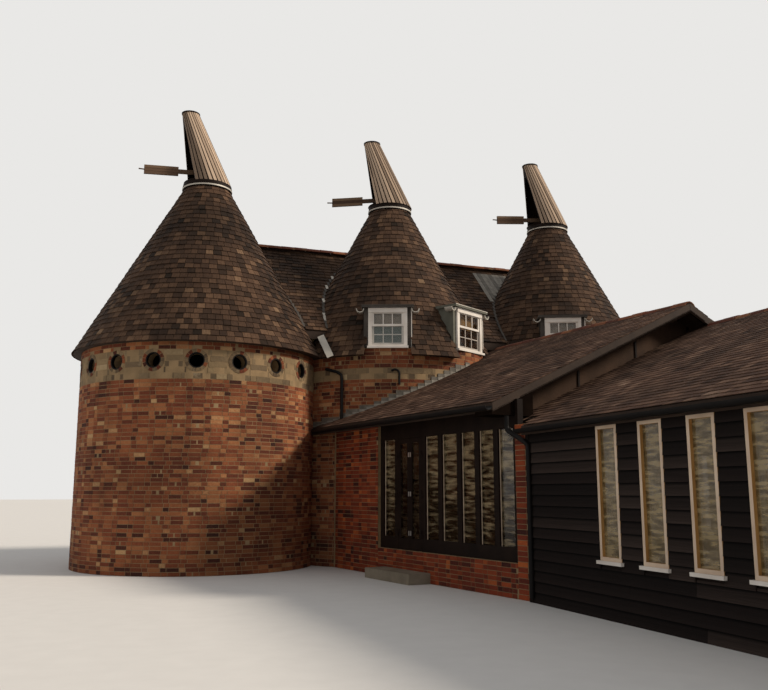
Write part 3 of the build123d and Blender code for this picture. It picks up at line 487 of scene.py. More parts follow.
# The finish of each CAD node that stays in view
DRESSED: dict[Finish, str] = {
    LIME_MORTAR: "kiln_1_wall kiln_2_wall kiln_3_wall kiln_1_vent_band dormer_upstands stowage_rear_wall"
    " stowage_gables stowage_link_walls corner_pier brick_panel glazing_plinth wing_east_wall",
    DARK_TIMBER: "range_west_wall range_east_wall range_south_wall glazed_frame door_left door_right"
    " cowl_spindles kiln_curbs",
    GABLE_SHEET: "wing_gable",
    TARRED_BOARD: "bargeboards",
    WEATHERED_TIMBER: "vane_1 vane_2 vane_3",
    BARE_BATTEN: "kiln_upper_floors",
    WHITE_PAINT: "dormer_window_frames stowage_window_frames",
    LEAD_SHEET: "dormer_a_casing dormer_c_casing",
    GREEN_LEAD: "dormer_b_casing",
    BLACK_IRON: "gutters downpipes kiln_1_vent_rings",
    STONE_FLAG: "kiln_ground_floors wing_floors doorstep",
    WINDOW_GLASS: "glazed_frame_glass",
    DOOR_GLASS: "door_left_glass door_right_glass",
}


class Surface:
    """A face that pieces are laid on: u runs along it, v up it and w out of it."""

    def at(self, u: float, v: float, w: float) -> Vector:
        """Give the point of the row frame at a place on the face."""
        raise NotImplementedError

    def stretch(self, v: float) -> float:
        """Give the metres along the face for each unit of u, at a height on it."""
        return 1.0


@dataclass(frozen=True)
class FlatFace(Surface):
    """A flat face, from a corner and the two directions along and up it."""

    corner: Vector
    along: Vector
    up: Vector

    @property
    def out(self) -> Vector:
        """The direction out of the face."""
        return self.along.cross(self.up)

    def at(self, u: float, v: float, w: float) -> Vector:
        """Give the point of the row frame at a place on the face."""
        return self.corner + self.along * u + self.up * v + self.out * w


@dataclass(frozen=True)
class RoundFace(Surface):
    """The side of a cone or drum, with u measured round its foot from -Y toward +X, or from a seam."""

    middle: float
    foot_radius: float
    head_radius: float
    foot_z: float
    head_z: float
    seam: float = 0.0

    @property
    def length(self) -> float:
        """The length of the side from foot to head."""
        return math.hypot(self.head_z - self.foot_z, self.foot_radius - self.head_radius)

    @property
    def around(self) -> float:
        """The length round the foot."""
        return 2 * math.pi * self.foot_radius

    def at(self, u: float, v: float, w: float) -> Vector:
        """Give the point of the row frame at a place on the face."""
        inward = (self.foot_radius - self.head_radius) / self.length
        rise = (self.head_z - self.foot_z) / self.length
        radius = self.foot_radius - inward * v + rise * w
        angle = u / self.foot_radius + self.seam
        height = self.foot_z + rise * v + inward * w
        return Vector((self.middle + radius * math.sin(angle), -radius * math.cos(angle), height))

    def stretch(self, v: float) -> float:
        """Give the metres along the face for each unit of u, at a height on it."""
        return 1 - (self.foot_radius - self.head_radius) * v / self.length / self.foot_radius


@dataclass(frozen=True)
class Barrel(Surface):
    """A half-round face astride a line, with u measured round it from the top."""

    start: Vector
    run: Vector
    radius: float

    def at(self, u: float, v: float, w: float) -> Vector:
        """Give the point of the row frame at a place on the face."""
        angle = u / self.radius
        out = UP * math.cos(angle) + self.run.cross(UP) * math.sin(angle)
        return self.start + self.run * v + out * (self.radius + w)


@dataclass(frozen=True)
class Ring(Surface):
    """A ring drawn on another face, with u round it and v outward from its centre."""

    base: Surface
    place: tuple[float, float]
    radius: float

    def at(self, u: float, v: float, w: float) -> Vector:
        """Give the point of the row frame at a place on the ring."""
        angle = u / self.radius
        return self.base.at(self.place[0] + v * math.sin(angle), self.place[1] + v * math.cos(angle), w)


@dataclass(frozen=True)
class LeaningCone(Surface):
    """The side of a leaning cone, with u going once round it from one edge of its mouth to the other."""

    middle: float
    heading: float
    foot_radius: float
    head_radius: float
    lean: float
    foot_z: float
    head_z: float
    foot_opening: float
    head_opening: float

    def at(self, u: float, v: float, w: float) -> Vector:
        """Give the point of the row frame at a share of the way round, a height and a depth."""
        share = v / (self.head_z - self.foot_z)
        opening = self.foot_opening + (self.head_opening - self.foot_opening) * share
        angle = opening + (2 * math.pi - 2 * opening) * u
        radius = self.foot_radius + (self.head_radius - self.foot_radius) * share + w
        forward = toward(self.heading)
        centre = Vector((self.middle, 0, self.foot_z + v)) + forward * self.lean * share
        return centre + forward * radius * math.cos(angle) + UP.cross(forward) * radius * math.sin(angle)


@dataclass(frozen=True)
class Plan:
    """A frame on the ground, from its corner in the row frame and its turn in degrees."""

    corner: tuple[float, float] = (0.0, 0.0)
    turn: float = 0.0

    @property
    def along(self) -> Vector:
        """The direction of its x."""
        return toward(math.radians(self.turn))

    @property
    def back(self) -> Vector:
        """The direction of its y."""
        return UP.cross(self.along)

    def point(self, x: float, y: float, z: float) -> Vector:
        """Turn a point of this frame into the row frame."""
        return Vector((*self.corner, z)) + self.along * x + self.back * y

    def local(self, point: Vector) -> tuple[float, float]:
        """Give a point's x and y in this frame."""
        offset = point - Vector((*self.corner, 0))
        return offset.dot(self.along), offset.dot(self.back)

    def upright(self, x: float, y: float, run_x: float, run_y: float) -> FlatFace:
        """Give an upright face, from a corner on the ground and the direction along it."""
        return FlatFace(self.point(x, y, 0), self.along * run_x + self.back * run_y, UP)


@dataclass(frozen=True)
class PitchedRoof:
    """A double-pitched roof: its ridge's x and height on its plan, its slope, its reach and its run."""

    name: str
    ends: tuple[str, str]
    plan: Plan
    ridge: tuple[float, float]
    slope: float
    reach: float
    run: Span

    def top(self, x: float) -> float:
        """Give the height of its outer face at a place across it."""
        return self.ridge[1] - self.slope * abs(x - self.ridge[0])

    @property
    def rise(self) -> float:
        """The length of each slope from eave to ridge."""
        return math.hypot(self.reach, self.slope * self.reach)

    @property
    def length(self) -> float:
        """The length along the ridge."""
        return self.run[1] - self.run[0]

    def face(self, side: int) -> FlatFace:
        """Give one slope, from the left end of its eave."""
        start = self.run[1] if side < 0 else self.run[0]
        eave = self.ridge[0] + side * self.reach
        corner = self.plan.point(eave, start, self.ridge[1] - self.slope * self.reach)
        inward = self.plan.along * -side + UP * self.slope
        return FlatFace(corner, self.plan.back * side, inward.normalized())


@dataclass(frozen=True)
class WindowRow:
    """The tall windows of the low walls: their pitch, their width, and their foot and head."""

    pitch: float = 0.823
    width: float = 0.42
    levels: Span = (0.64, 2.29)


ROW = Plan()
WING = Plan((-0.832, -7.398), 8.8)
STOWAGE_ROOF = PitchedRoof(
    "stowage", ("front", "rear"), Plan(turn=90.0), (1.3, 7.28), 1.0, 2.40, (-4.56, 4.56)
)
WING_ROOF = PitchedRoof("wing", ("west", "east"), WING, (3.91, 4.71), 0.453, 4.26, (0.17, 6.77))
RANGE_ROOF = PitchedRoof("range", ("west", "east"), ROW, (3.5, 4.38), 0.443, 4.41, (-14.6, -5.0))
LOW_WINDOWS = WindowRow()
STOWAGE_FRONT_Y = -0.86
WING_GABLE_Y = 0.6
RANGE_END_Y = -14.35


def put(
    name: str, data: bpy.types.ID, slot: Slot, body: str = "building", replaced: Sequence[str] = ()
) -> bpy.types.Object:
    """Put a piece in the scene, on the body that it rides on, in place of the CAD nodes that it stands for,
    and say what it rides on.

    Args:
        name: The piece's name.
        data: Its mesh or curve.
        slot: The record's material slot, which is not used.
        body: The body that it moves with.
        replaced: The CAD nodes that it stands for.

    Returns:
        The new object.
    """
    piece = bpy.data.objects.new(name, data)
    bpy.context.scene.collection.objects.link(piece)
    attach(piece, body)
    if replaced:
        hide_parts(*replaced)
    LOG.info("%s rides on %s", name, body)
    return piece


class Pile:
    """Many small pieces in one mesh, each with a tone and a UV map of its own."""

    chunk = 120
    weld = 0.0001
    middling = 0.45
    tone_shift = (7, 3)

    def __init__(self, name: str, seed: int = 1) -> None:
        """Start an empty pile.

        Args:
            name: The name of the object that it becomes.
            seed: What its random draws start from.
        """
        self.name = name
        self.draw = random.Random(seed)
        self.whole = bmesh.new()
        self.open = bmesh.new()
        self.count = 0
        self.finishes: list[Finish] = []

    def tone(self, spread: float) -> float:
        """Draw a tone near the middling one, from 0 to 1."""
        return min(1.0, max(0.0, self.draw.gauss(self.middling, spread)))

    def add(
        self,
        surface: Surface,
        u: Span,
        v: Span,
        w: Span,
        finish: Finish,
        tone: float = 0.5,
        lean: float = 0.0,
        cuts: int = 0,
    ) -> None:
        """Lay one block on a face.

        Args:
            surface: The face that it lies on.
            u: Where it starts and ends along the face.
            v: Where it starts and ends up the face.
            w: Its underside and its top, out from the face.
            finish: Its material.
            tone: Its own shade, from 0 to 1.
            lean: How far it sinks for each metre up the face.
            cuts: How many times its length along u is divided, so that it can bend.
        """
        if cuts or self.count >= self.chunk:
            self._gather()
        layers = self.open.faces.layers.float
        shade = layers.get("tone") or layers.new("tone")
        laid = self.open.loops.layers.uv.get("laid") or self.open.loops.layers.uv.new("laid")
        middle = Matrix.Translation(((u[0] + u[1]) / 2, (v[0] + v[1]) / 2, (w[0] + w[1]) / 2))
        size = Matrix.Diagonal((u[1] - u[0], v[1] - v[0], w[1] - w[0], 1.0))
        corners = bmesh.ops.create_cube(self.open, size=1.0, matrix=middle @ size)["verts"]
        if cuts:
            half = (u[1] - u[0]) / 2
            lengthwise = [e for e in self.open.edges if abs(e.verts[0].co.x - e.verts[1].co.x) > half]
            bmesh.ops.subdivide_edges(self.open, edges=lengthwise, cuts=cuts, use_grid_fill=True)
            corners = list(self.open.verts)
            self.count = self.chunk
        index = self._index(finish)
        aside, ahead = (tone * shift for shift in self.tone_shift)
        for face in {f for c in corners for f in c.link_faces}:
            face[shade] = tone
            face.material_index = index
            for loop in face.loops:
                loop[laid].uv = (loop.vert.co.x + aside, loop.vert.co.y + loop.vert.co.z + ahead)
        for corner in corners:
            along, up, out = corner.co
            corner.co = surface.at(along, up, out - lean * (up - v[0]))
        self.count += 1

    def _index(self, finish: Finish) -> int:
        """Give the number of a finish among the pile's materials."""
        if finish not in self.finishes:
            self.finishes.append(finish)
        return self.finishes.index(finish)

    def _take(self, loose: bmesh.types.BMesh) -> None:
        """Move loose pieces into the whole mesh."""
        held = bpy.data.meshes.new("held")
        loose.to_mesh(held)
        loose.free()
        self.whole.from_mesh(held)
        bpy.data.meshes.remove(held)

    def _gather(self) -> None:
        """Empty the open pieces into the whole mesh, so that each new one stays quick to make."""
        self._take(self.open)
        self.open = bmesh.new()
        self.count = 0

    def shell(self, node: str, move: Callable[[Vector], Vector], finish: Finish) -> None:
        """Add a copy of a CAD node, moved in under what is laid on it.

        Args:
            node: The CAD node's name.
            move: Gives the new place of a point.
            finish: Its material.
        """
        index = self._index(finish)
        copy = bmesh.new()
        copy.from_mesh(frame["nodes"][node].data)
        bmesh.ops.remove_doubles(copy, verts=copy.verts, dist=self.weld)
        for vert in copy.verts:
            vert.co = move(vert.co)
        for face in copy.faces:
            face.material_index = index
        self._gather()
        self._take(copy)

    def finish(self, slot: Slot, body: str = "building", replaced: Sequence[str] = ()) -> None:
        """Make the pile an object that rides on a body.

        Args:
            slot: The record's material slot, handed on to put.
            body: The body that it moves with.
            replaced: The CAD nodes that it stands for.
        """
        self._gather()
        mesh = bpy.data.meshes.new(self.name)
        self.whole.to_mesh(mesh)
        self.whole.free()
        self.open.free()
        for finish in self.finishes:
            mesh.materials.append(finish.make())
        put(self.name, mesh, slot, body, replaced)


def reach(node: str, middle: float, height: float) -> float:
    """Measure how far a CAD node reaches from a kiln's axis at a height.

    Args:
        node: The CAD node's name.
        middle: Where the axis stands along the row of kilns.
        height: The height that is measured.

    Returns:
        The largest distance from the axis.
    """
    points = (vert.co for vert in frame["nodes"][node].data.vertices)
    return max(math.hypot(p.x - middle, p.y) for p in points if abs(p.z - height) < 0.01)


@dataclass
class Dormer:
    """A dormer on a kiln's roof: its turn from -Y toward +X, sill, window size, blind and lead."""

    turn: float
    sill: float
    width: float
    height: float
    blind: Finish = LINEN_BLIND
    lead: Finish = LEAD_SHEET
    netted: bool = True
    cheek: ClassVar[float] = 0.095

    @property
    def half(self) -> float:
        """Half its width with its cheeks."""
        return self.width / 2 + self.cheek


@dataclass
class Kiln:
    """One round kiln, with the sizes that its wall and its roof share."""

    number: int
    dormers: list[Dormer] = field(default_factory=list)
    middle: float = 0.0
    wall_radius: float = 0.0
    eave_radius: float = 0.0
    top_radius: float = 0.0
    eave_z: float = 0.0
    top_z: float = 0.0

    def __post_init__(self) -> None:
        """Read the kiln's place and sizes from the frame."""
        joint = next(j for j in frame["joints"] if j["name"] == f"cowl_{self.number}_turn")
        self.middle = joint["pos_m"][0]
        wall = "kiln_1_vent_band" if self.number == 1 else f"kiln_{self.number}_wall"
        roof = f"kiln_{self.number}_roof"
        self.eave_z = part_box(wall)[1].z
        self.wall_radius = reach(wall, self.middle, self.eave_z)
        self.eave_radius = reach(roof, self.middle, self.eave_z)
        self.top_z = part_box(roof)[1].z
        self.top_radius = reach(roof, self.middle, self.top_z)

    @property
    def roof(self) -> RoundFace:
        """The outside of the cone."""
        return RoundFace(self.middle, self.eave_radius, self.top_radius, self.eave_z, self.top_z, math.pi)

    @property
    def wall(self) -> RoundFace:
        """The outside of the drum."""
        return RoundFace(self.middle, self.wall_radius, self.wall_radius, 0.0, self.eave_z)

    def holds(self, point: Vector) -> bool:
        """Say whether a point lies inside the kiln's outer form."""
        distance = math.hypot(point.x - self.middle, point.y)
        if point.z < self.eave_z:
            return distance < self.wall_radius
        share = (point.z - self.eave_z) / (self.top_z - self.eave_z)
        return share < 1 and distance < self.eave_radius + (self.top_radius - self.eave_radius) * share

    def front(self, turn: float, distance: float, height: float) -> FlatFace:
        """Give an upright face square to the kiln's radius at a turn."""
        along = toward(math.radians(turn))
        return FlatFace(Vector((self.middle, 0, height)) + along.cross(UP) * distance, along, UP)


@dataclass
class RoofSlope:
    """A flat roof slope: its CAD node, face and lengths, and what is laid on it."""

    node: str
    face: FlatFace
    width: float
    rise: float
    keep: Test
    tile: Finish


@dataclass
class Tiler:
    """Lays clay tiles in courses, with the tails up to the face and the heads sunk under them."""

    exposure: float = 0.131
    lap: float = 0.05
    thick: float = 0.014
    widths: Span = (0.135, 0.18)
    joint: float = 0.009
    slack: float = 0.007
    slip: float = 0.008
    least: float = 0.03
    spread: float = 0.17
    clearance: float = 0.001

    @property
    def bed(self) -> float:
        """How deep the underside of the deepest tile head lies."""
        return self.thick * (2 * self.exposure + self.lap) / self.exposure + self.slack + self.clearance

    def lay(self, pile: Pile, face: Surface, width: float, rise: float, keep: Test, finish: Finish) -> None:
        """Cover a face with tiles.

        Args:
            pile: What the tiles go into.
            face: The face that their tails reach.
            width: The face's extent along u.
            rise: The face's extent up v.
            keep: Says whether a tile with its middle at a point is laid.
            finish: The tiles' material.
        """
        lean = self.thick / self.exposure
        for course in range(math.ceil(rise / self.exposure)):
            low = course * self.exposure
            high = min(low + self.exposure + self.lap, rise)
            scale = face.stretch(low)
            place = -pile.draw.uniform(0, self.widths[1]) / scale
            while place < width:
                end = place + pile.draw.uniform(*self.widths) / scale
                left, right = max(place, 0.0), min(end, width)
                tone = pile.tone(self.spread)
                slip = pile.draw.uniform(-self.slip, 0.0) if course else 0.0
                sink = pile.draw.uniform(0, self.slack)
                place = end
                middle = face.at((left + right) / 2, (low + high) / 2, 0)
                if right - left >= self.least / scale and keep(middle):
                    gap = self.joint / 2 / scale
                    u = (left + gap, right - gap)
                    pile.add(face, u, (low + slip, high), (-self.thick - sink, -sink), finish, tone, lean)


@dataclass
class Bricklayer:
    """Lays bricks or blocks in courses, in runs broken by openings."""

    finish: Finish
    course: float = 0.075
    joint: float = 0.010
    lengths: Sequence[float] = (0.215, 0.1025)
    proud: Span = (0.002, 0.006)
    sunk: float = 0.012
    least: float = 0.04
    uneven: Span = (0.96, 1.04)
    spread: float = 0.22

    def lay(
        self,
        pile: Pile,
        face: Surface,
        u: Span,
        v: Span,
        holes: Sequence[tuple[float, float, float, float]] = (),
        rounds: Sequence[tuple[float, float, float]] = (),
        keep: Test = lambda point: True,
    ) -> None:
        """Cover a face with courses.

        Args:
            pile: What the bricks go into.
            face: The wall's face.
            u: Where the wall starts and ends along the face.
            v: The foot and the head of the brickwork.
            holes: Openings with straight sides, as left, right, foot and head.
            rounds: Round openings, as the middle's u and v and the radius.
            keep: Says whether a brick with its middle at a point is laid.
        """
        rows = max(1, round((v[1] - v[0]) / self.course))
        pitch = (v[1] - v[0]) / rows
        for row in range(rows):
            low = v[0] + row * pitch + self.joint / 2
            high = low + pitch - self.joint
            gaps = [(left, right) for left, right, foot, head in holes if foot < high and head > low]
            for middle, level, radius in rounds:
                nearest = max(low - level, level - high, 0.0)
                if nearest < radius:
                    half = math.sqrt(radius**2 - nearest**2)
                    gaps.append((middle - half, middle + half))
            start = u[0]
            for left, right in sorted(gaps) + [(u[1], u[1])]:
                if left - start > self.least:
                    self._run(pile, face, (start, left), (low, high), row % 2, keep)
                start = max(start, right)

    def _run(self, pile: Pile, face: Surface, u: Span, v: Span, step: int, keep: Test) -> None:
        """Fill one unbroken stretch of a course, shifted by half a brick in every other one."""
        place = u[0] - step * self.lengths[0] / 2
        while place < u[1]:
            length = self.lengths[step % len(self.lengths)] * pile.draw.uniform(*self.uneven)
            left = max(place + self.joint / 2, u[0])
            right = min(place + length + self.joint / 2, u[1])
            place += length + self.joint
            step += 1
            if right - left < self.least or not keep(face.at((left + right) / 2, sum(v) / 2, 0)):
                continue
            tone = pile.tone(self.spread)
            pile.add(face, (left, right), v, (-self.sunk, pile.draw.uniform(*self.proud)), self.finish, tone)


@dataclass
class KilnRow:
    """The three kilns: brick and stone drums, tiled cones and dormers."""

    kilns: list[Kiln]
    tiler: Tiler
    vent_level: float = 3.9
    vent_ring: float = 0.15
    vent_turns: tuple[float, ...] = tuple(-163.8 + 19.2 * step for step in range(12))
    voussoirs: int = 14
    voussoir_height: float = 0.065
    voussoir_joint: float = 0.004
    brick_share: float = 0.4
    margin: float = 0.01
    stone_band: Span = (3.55, 4.10)
    stone_patch: Span = (3.76, 3.99)
    sill_bed: float = 0.005
    brick: Bricklayer = field(default_factory=lambda: Bricklayer(RED_BRICK))
    stone: Bricklayer = field(
        default_factory=lambda: Bricklayer(
            SANDSTONE, course=0.11, joint=0.009, lengths=(0.34, 0.19, 0.46, 0.12, 0.27), proud=(0.001, 0.009)
        )
    )

    def outside(self, number: int) -> Test:
        """Give a test for points that lie outside all the kilns numbered before this one."""
        return lambda point: not any(k.holds(point) for k in self.kilns if k.number < number)

    def build(self) -> None:
        """Lay every wall and roof."""
        for kiln in self.kilns:
            self.wall(kiln)
            self.roof(kiln)

    def wall(self, kiln: Kiln) -> None:
        """Face a drum with brick, with stone blocks between two heights, round its vents."""
        pile = Pile(f"kiln_{kiln.number}_bricks", kiln.number)
        face = kiln.wall
        half = face.around / 2
        vented = kiln.number == 1
        foot, head = self.stone_band if vented else self.stone_patch
        places = [math.radians(turn) * kiln.wall_radius for turn in self.vent_turns if vented]
        for place in places:
            self.voussoir_ring(pile, face, place)
        radius = self.vent_ring + self.voussoir_height + self.margin
        rounds = [(place, self.vent_level, radius) for place in places]
        for layer, v in (
            (self.brick, (0.0, foot)), (self.stone, (foot, head)), (self.brick, (head, kiln.eave_z))
        ):
            layer.lay(pile, face, (-half, half), v, rounds=rounds, keep=self.outside(kiln.number))
        for dormer in kiln.dormers:
            turn = math.radians(dormer.turn) * kiln.wall_radius
            v = (kiln.eave_z, dormer.sill - self.sill_bed)
            self.brick.lay(pile, face, (turn - dormer.half, turn + dormer.half), v)
        pile.finish(Slot.BRICK)

    def voussoir_ring(self, pile: Pile, face: Surface, place: float) -> None:
        """Set a ring of bricks and small stones on edge round a vent."""
        ring = Ring(face, (place, self.vent_level), self.vent_ring)
        pitch = 2 * math.pi * self.vent_ring / self.voussoirs
        v = (self.vent_ring + 0.002, self.vent_ring + self.voussoir_height)
        for step in range(self.voussoirs):
            u = (step * pitch + self.voussoir_joint, (step + 1) * pitch - self.voussoir_joint)
            tone = pile.draw.uniform(0.0, 0.6)
            finish = RED_BRICK if pile.draw.random() < self.brick_share else SANDSTONE
            pile.add(ring, u, v, (-self.brick.sunk, pile.draw.uniform(0.004, 0.01)), finish, tone)

    def roof(self, kiln: Kiln) -> None:
        """Tile a cone, leaving the dormers' mouths open."""
        pile = Pile(f"kiln_{kiln.number}_tiles", 10 + kiln.number)
        face = kiln.roof
        outside = self.outside(kiln.number)

        def keep(point: Vector) -> bool:
            """Leave out what another kiln or a dormer holds."""
            for dormer in kiln.dormers:
                front = kiln.front(dormer.turn, 0.0, 0.0)
                offset = point - front.corner
                beside = offset.dot(front.out) > 0 and abs(offset.dot(front.along)) < dormer.half
                if beside and point.z < dormer.sill + dormer.height:
                    return False
            return outside(point)

        def inward(point: Vector) -> Vector:
            """Bring the cone in under its tiles."""
            offset = Vector((point.x - kiln.middle, point.y, 0))
            return point - offset.normalized() * self.tiler.bed

        self.tiler.lay(pile, face, face.around, face.length, keep, KILN_TILE)
        roof = f"kiln_{kiln.number}_roof"
        pile.shell(roof, inward, BARE_BATTEN)
        pile.finish(Slot.TILE, replaced=[roof])


@dataclass
class FlatRoofs:
    """The slopes of the stowage and of the two wings, and their ridge tiles."""

    kilns: list[Kiln]
    tiler: Tiler
    low_tiler: Tiler
    eave_reach: float = 0.24
    wing_thick: float = 0.13
    pier_side: Span = (0.27, -0.16)
    ridge_length: float = 0.32
    ridge_radius: float = 0.13
    ridge_half: float = 0.15
    ridge_thick: float = 0.018
    ridge_joint: float = 0.003
    ridge_lift: float = 0.006

    def clear_of_kilns(self, point: Vector) -> bool:
        """Say whether a point lies outside every kiln."""
        return not any(kiln.holds(point) for kiln in self.kilns)

    def between_kilns(self, point: Vector) -> bool:
        """Say whether a tile of the stowage's front slope lies between the outer kilns."""
        beside = abs(point.x) > self.kilns[2].middle and point.y < 0
        return self.clear_of_kilns(point) and not beside

    def over_wing(self, point: Vector) -> bool:
        """Say whether a point of the glazed wing's roof or walls is outside the kilns and the stowage."""
        under = point.z < STOWAGE_ROOF.top(point.y) and point.y > STOWAGE_FRONT_Y - self.eave_reach
        return self.clear_of_kilns(point) and not under

    def over_range(self, point: Vector) -> bool:
        """Say whether a tile of the range's roof is clear of the glazed wing."""
        x, y = WING.local(point)
        if y > WING_GABLE_Y or (x < self.pier_side[0] and y > self.pier_side[1]):
            return False
        return not (y > WING_ROOF.run[0] and point.z > WING_ROOF.top(x) - self.wing_thick)

    def slopes(self) -> list[RoofSlope]:
        """List the six slopes."""
        over = self.over_wing, self.over_range
        return [
            RoofSlope(f"{roof.name}_roof_{end}", roof.face(side), roof.length, roof.rise, keep, tile)
            for roof, tests, tile in (
                (STOWAGE_ROOF, (self.between_kilns, self.clear_of_kilns), KILN_TILE),
                (WING_ROOF, (over[0], over[0]), LOW_TILE),
                (RANGE_ROOF, (over[1], over[1]), LOW_TILE),
            )
            for side, end, keep in zip((-1, 1), roof.ends, tests)
        ]

    def build(self) -> None:
        """Tile each slope, and set the ridge tiles."""
        for seed, slope in enumerate(self.slopes(), 20):
            pile = Pile(slope.node.replace("roof", "tiles"), seed)
            tiler = self.low_tiler if slope.tile is LOW_TILE else self.tiler
            tiler.lay(pile, slope.face, slope.width, slope.rise, slope.keep, slope.tile)
            sunk = slope.face.out * tiler.bed
            pile.shell(slope.node, lambda point: point - sunk, BARE_BATTEN)
            pile.finish(Slot.TILE, replaced=[slope.node])
        self.ridges()

    def ridges(self) -> None:
        """Set half-round ridge tiles end to end, each a little out of line."""
        pile = Pile("ridge_tile_run", 40)
        for roof, way, keep, sink in (
            (STOWAGE_ROOF, -1, self.clear_of_kilns, 0.085),
            (WING_ROOF, 1, self.over_wing, 0.13),
            (RANGE_ROOF, 1, self.over_range, 0.13),
        ):
            start = roof.plan.point(roof.ridge[0], roof.run[0] if way > 0 else roof.run[1], roof.ridge[1])
            run = roof.plan.back * way
            for step in range(int(roof.length / self.ridge_length)):
                low = step * self.ridge_length
                if not keep(start + run * (low + self.ridge_length / 2)):
                    continue
                lift = pile.draw.uniform(-self.ridge_lift, self.ridge_lift)
                barrel = Barrel(start - UP * (sink - lift), run, self.ridge_radius)
                tone = pile.draw.uniform(0.1, 0.9)
                u = (-self.ridge_half, self.ridge_half)
                v = (low + self.ridge_joint, low + self.ridge_length - self.ridge_joint)
                pile.add(barrel, u, v, (0.0, self.ridge_thick), RIDGE_TILE, tone, cuts=5)
        pile.finish(Slot.TILE, replaced=["ridge_tiles"])


@dataclass
class Cowls:
    """The three leaning cowls, boarded from curb to cap, each with its vane."""

    kilns: list[Kiln]
    headings: tuple[float, float, float] = (183.0, 163.0, 175.0)
    boards: int = 24
    gap: float = 0.15
    foot_radius: float = 0.49
    foot_spread: float = 0.025
    head_radius: float = 0.178
    lean: float = 0.29
    more_lean: float = 0.135
    head_sink: float = 0.15
    mouth_foot: float = 0.33
    head_opening: float = 0.10
    flange: float = 0.045
    cap: float = 0.028
    board_thick: float = 0.014
    planks: int = 3
    plank_thick: float = 0.008
    joint: float = 0.003
    vane_droop: float = 4.5
    vane_pivot: float = 0.18
    vane_level: tuple[float, float, float] = (8.435, 8.36, 8.34)
    vane_span: Span = (0.65, 1.375)
    vane_height: float = 0.205
    vane_half: float = 0.016

    def build(self) -> None:
        """Board each cowl and plank its vane."""
        for kiln, heading, level in zip(self.kilns, self.headings, self.vane_level):
            self.cowl(kiln, math.radians(heading))
            self.vane(kiln, math.radians(heading), level)

    def cowl(self, kiln: Kiln, heading: float) -> None:
        """Stand tapered boards round the cone, on either side of the mouth."""
        pile = Pile(f"cowl_{kiln.number}_boards", 50 + kiln.number)
        low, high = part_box(f"cowl_{kiln.number}")
        foot_z, head_z = low.z + self.flange, high.z - self.cap
        forward = toward(heading)
        height = head_z - foot_z - self.head_sink

        def bend(point: Vector) -> Vector:
            """Lean the CAD's cowl over as far as the photograph shows, above its flange."""
            share = (point.z - foot_z) / (head_z - foot_z)
            if share < 0.01:
                return point
            axis = Vector((kiln.middle, 0, 0)) + forward * self.lean * share
            spread = 1 + self.foot_spread * max(0.0, 1 - share) / self.foot_radius
            offset = Vector((point.x, point.y, 0)) - axis
            moved = axis + offset * spread + forward * self.more_lean * share
            moved.z = point.z - self.head_sink * share
            return moved

        # The CAD's cowl stays under the boards as a near-black shell: its cap, and painted shade for the dark
        # inside of the cowl that shows between the boards and in the mouth
        pile.shell(f"cowl_{kiln.number}", bend, DARK_TIMBER)
        side = LeaningCone(
            middle=kiln.middle,
            heading=heading,
            foot_radius=self.foot_radius + self.foot_spread,
            head_radius=self.head_radius,
            lean=self.lean + self.more_lean,
            foot_z=foot_z,
            head_z=foot_z + height,
            foot_opening=math.acos(self.mouth_foot / self.foot_radius),
            head_opening=self.head_opening,
        )
        for step in range(self.boards):
            tone = pile.draw.uniform(0.1, 1.0)
            u = ((step + self.gap) / self.boards, (step + 1 - self.gap) / self.boards)
            top = self.board_thick * pile.draw.uniform(0.7, 1.0)
            pile.add(side, u, (0.002, height - 0.002), (0.001, top), SILVER_BOARD, tone)
        ring = RoundFace(kiln.middle, kiln.top_radius, kiln.top_radius, low.z, foot_z)
        pile.add(ring, (0, ring.around), (0.0, self.flange), (0.0, 0.003), DARK_TIMBER, cuts=48)
        pile.finish(Slot.COWL, f"cowl_head_{kiln.number}", [f"cowl_{kiln.number}"])

    def vane(self, kiln: Kiln, heading: float, level: float) -> None:
        """Face the vane with planks on both sides."""
        pile = Pile(f"vane_{kiln.number}_planks", 60 + kiln.number)
        droop = math.tan(math.radians(self.vane_droop))
        forward = toward(heading) - UP * droop
        middle = Vector((kiln.middle, 0, level + droop * self.vane_pivot))
        depth = self.vane_height / self.planks
        for side in (-1, 1):
            face = FlatFace(middle + forward.cross(UP) * self.vane_half * side, forward * side, UP)
            left, right = sorted(side * end for end in self.vane_span)
            for step in range(self.planks):
                foot = -self.vane_height / 2 + step * depth
                v = (foot + self.joint, foot + depth - self.joint)
                tone = pile.draw.uniform(0.0, 0.7)
                pile.add(face, (left, right), v, (0.0, self.plank_thick), RUSTY_BOARD, tone)
        pile.finish(Slot.COWL, f"cowl_head_{kiln.number}")


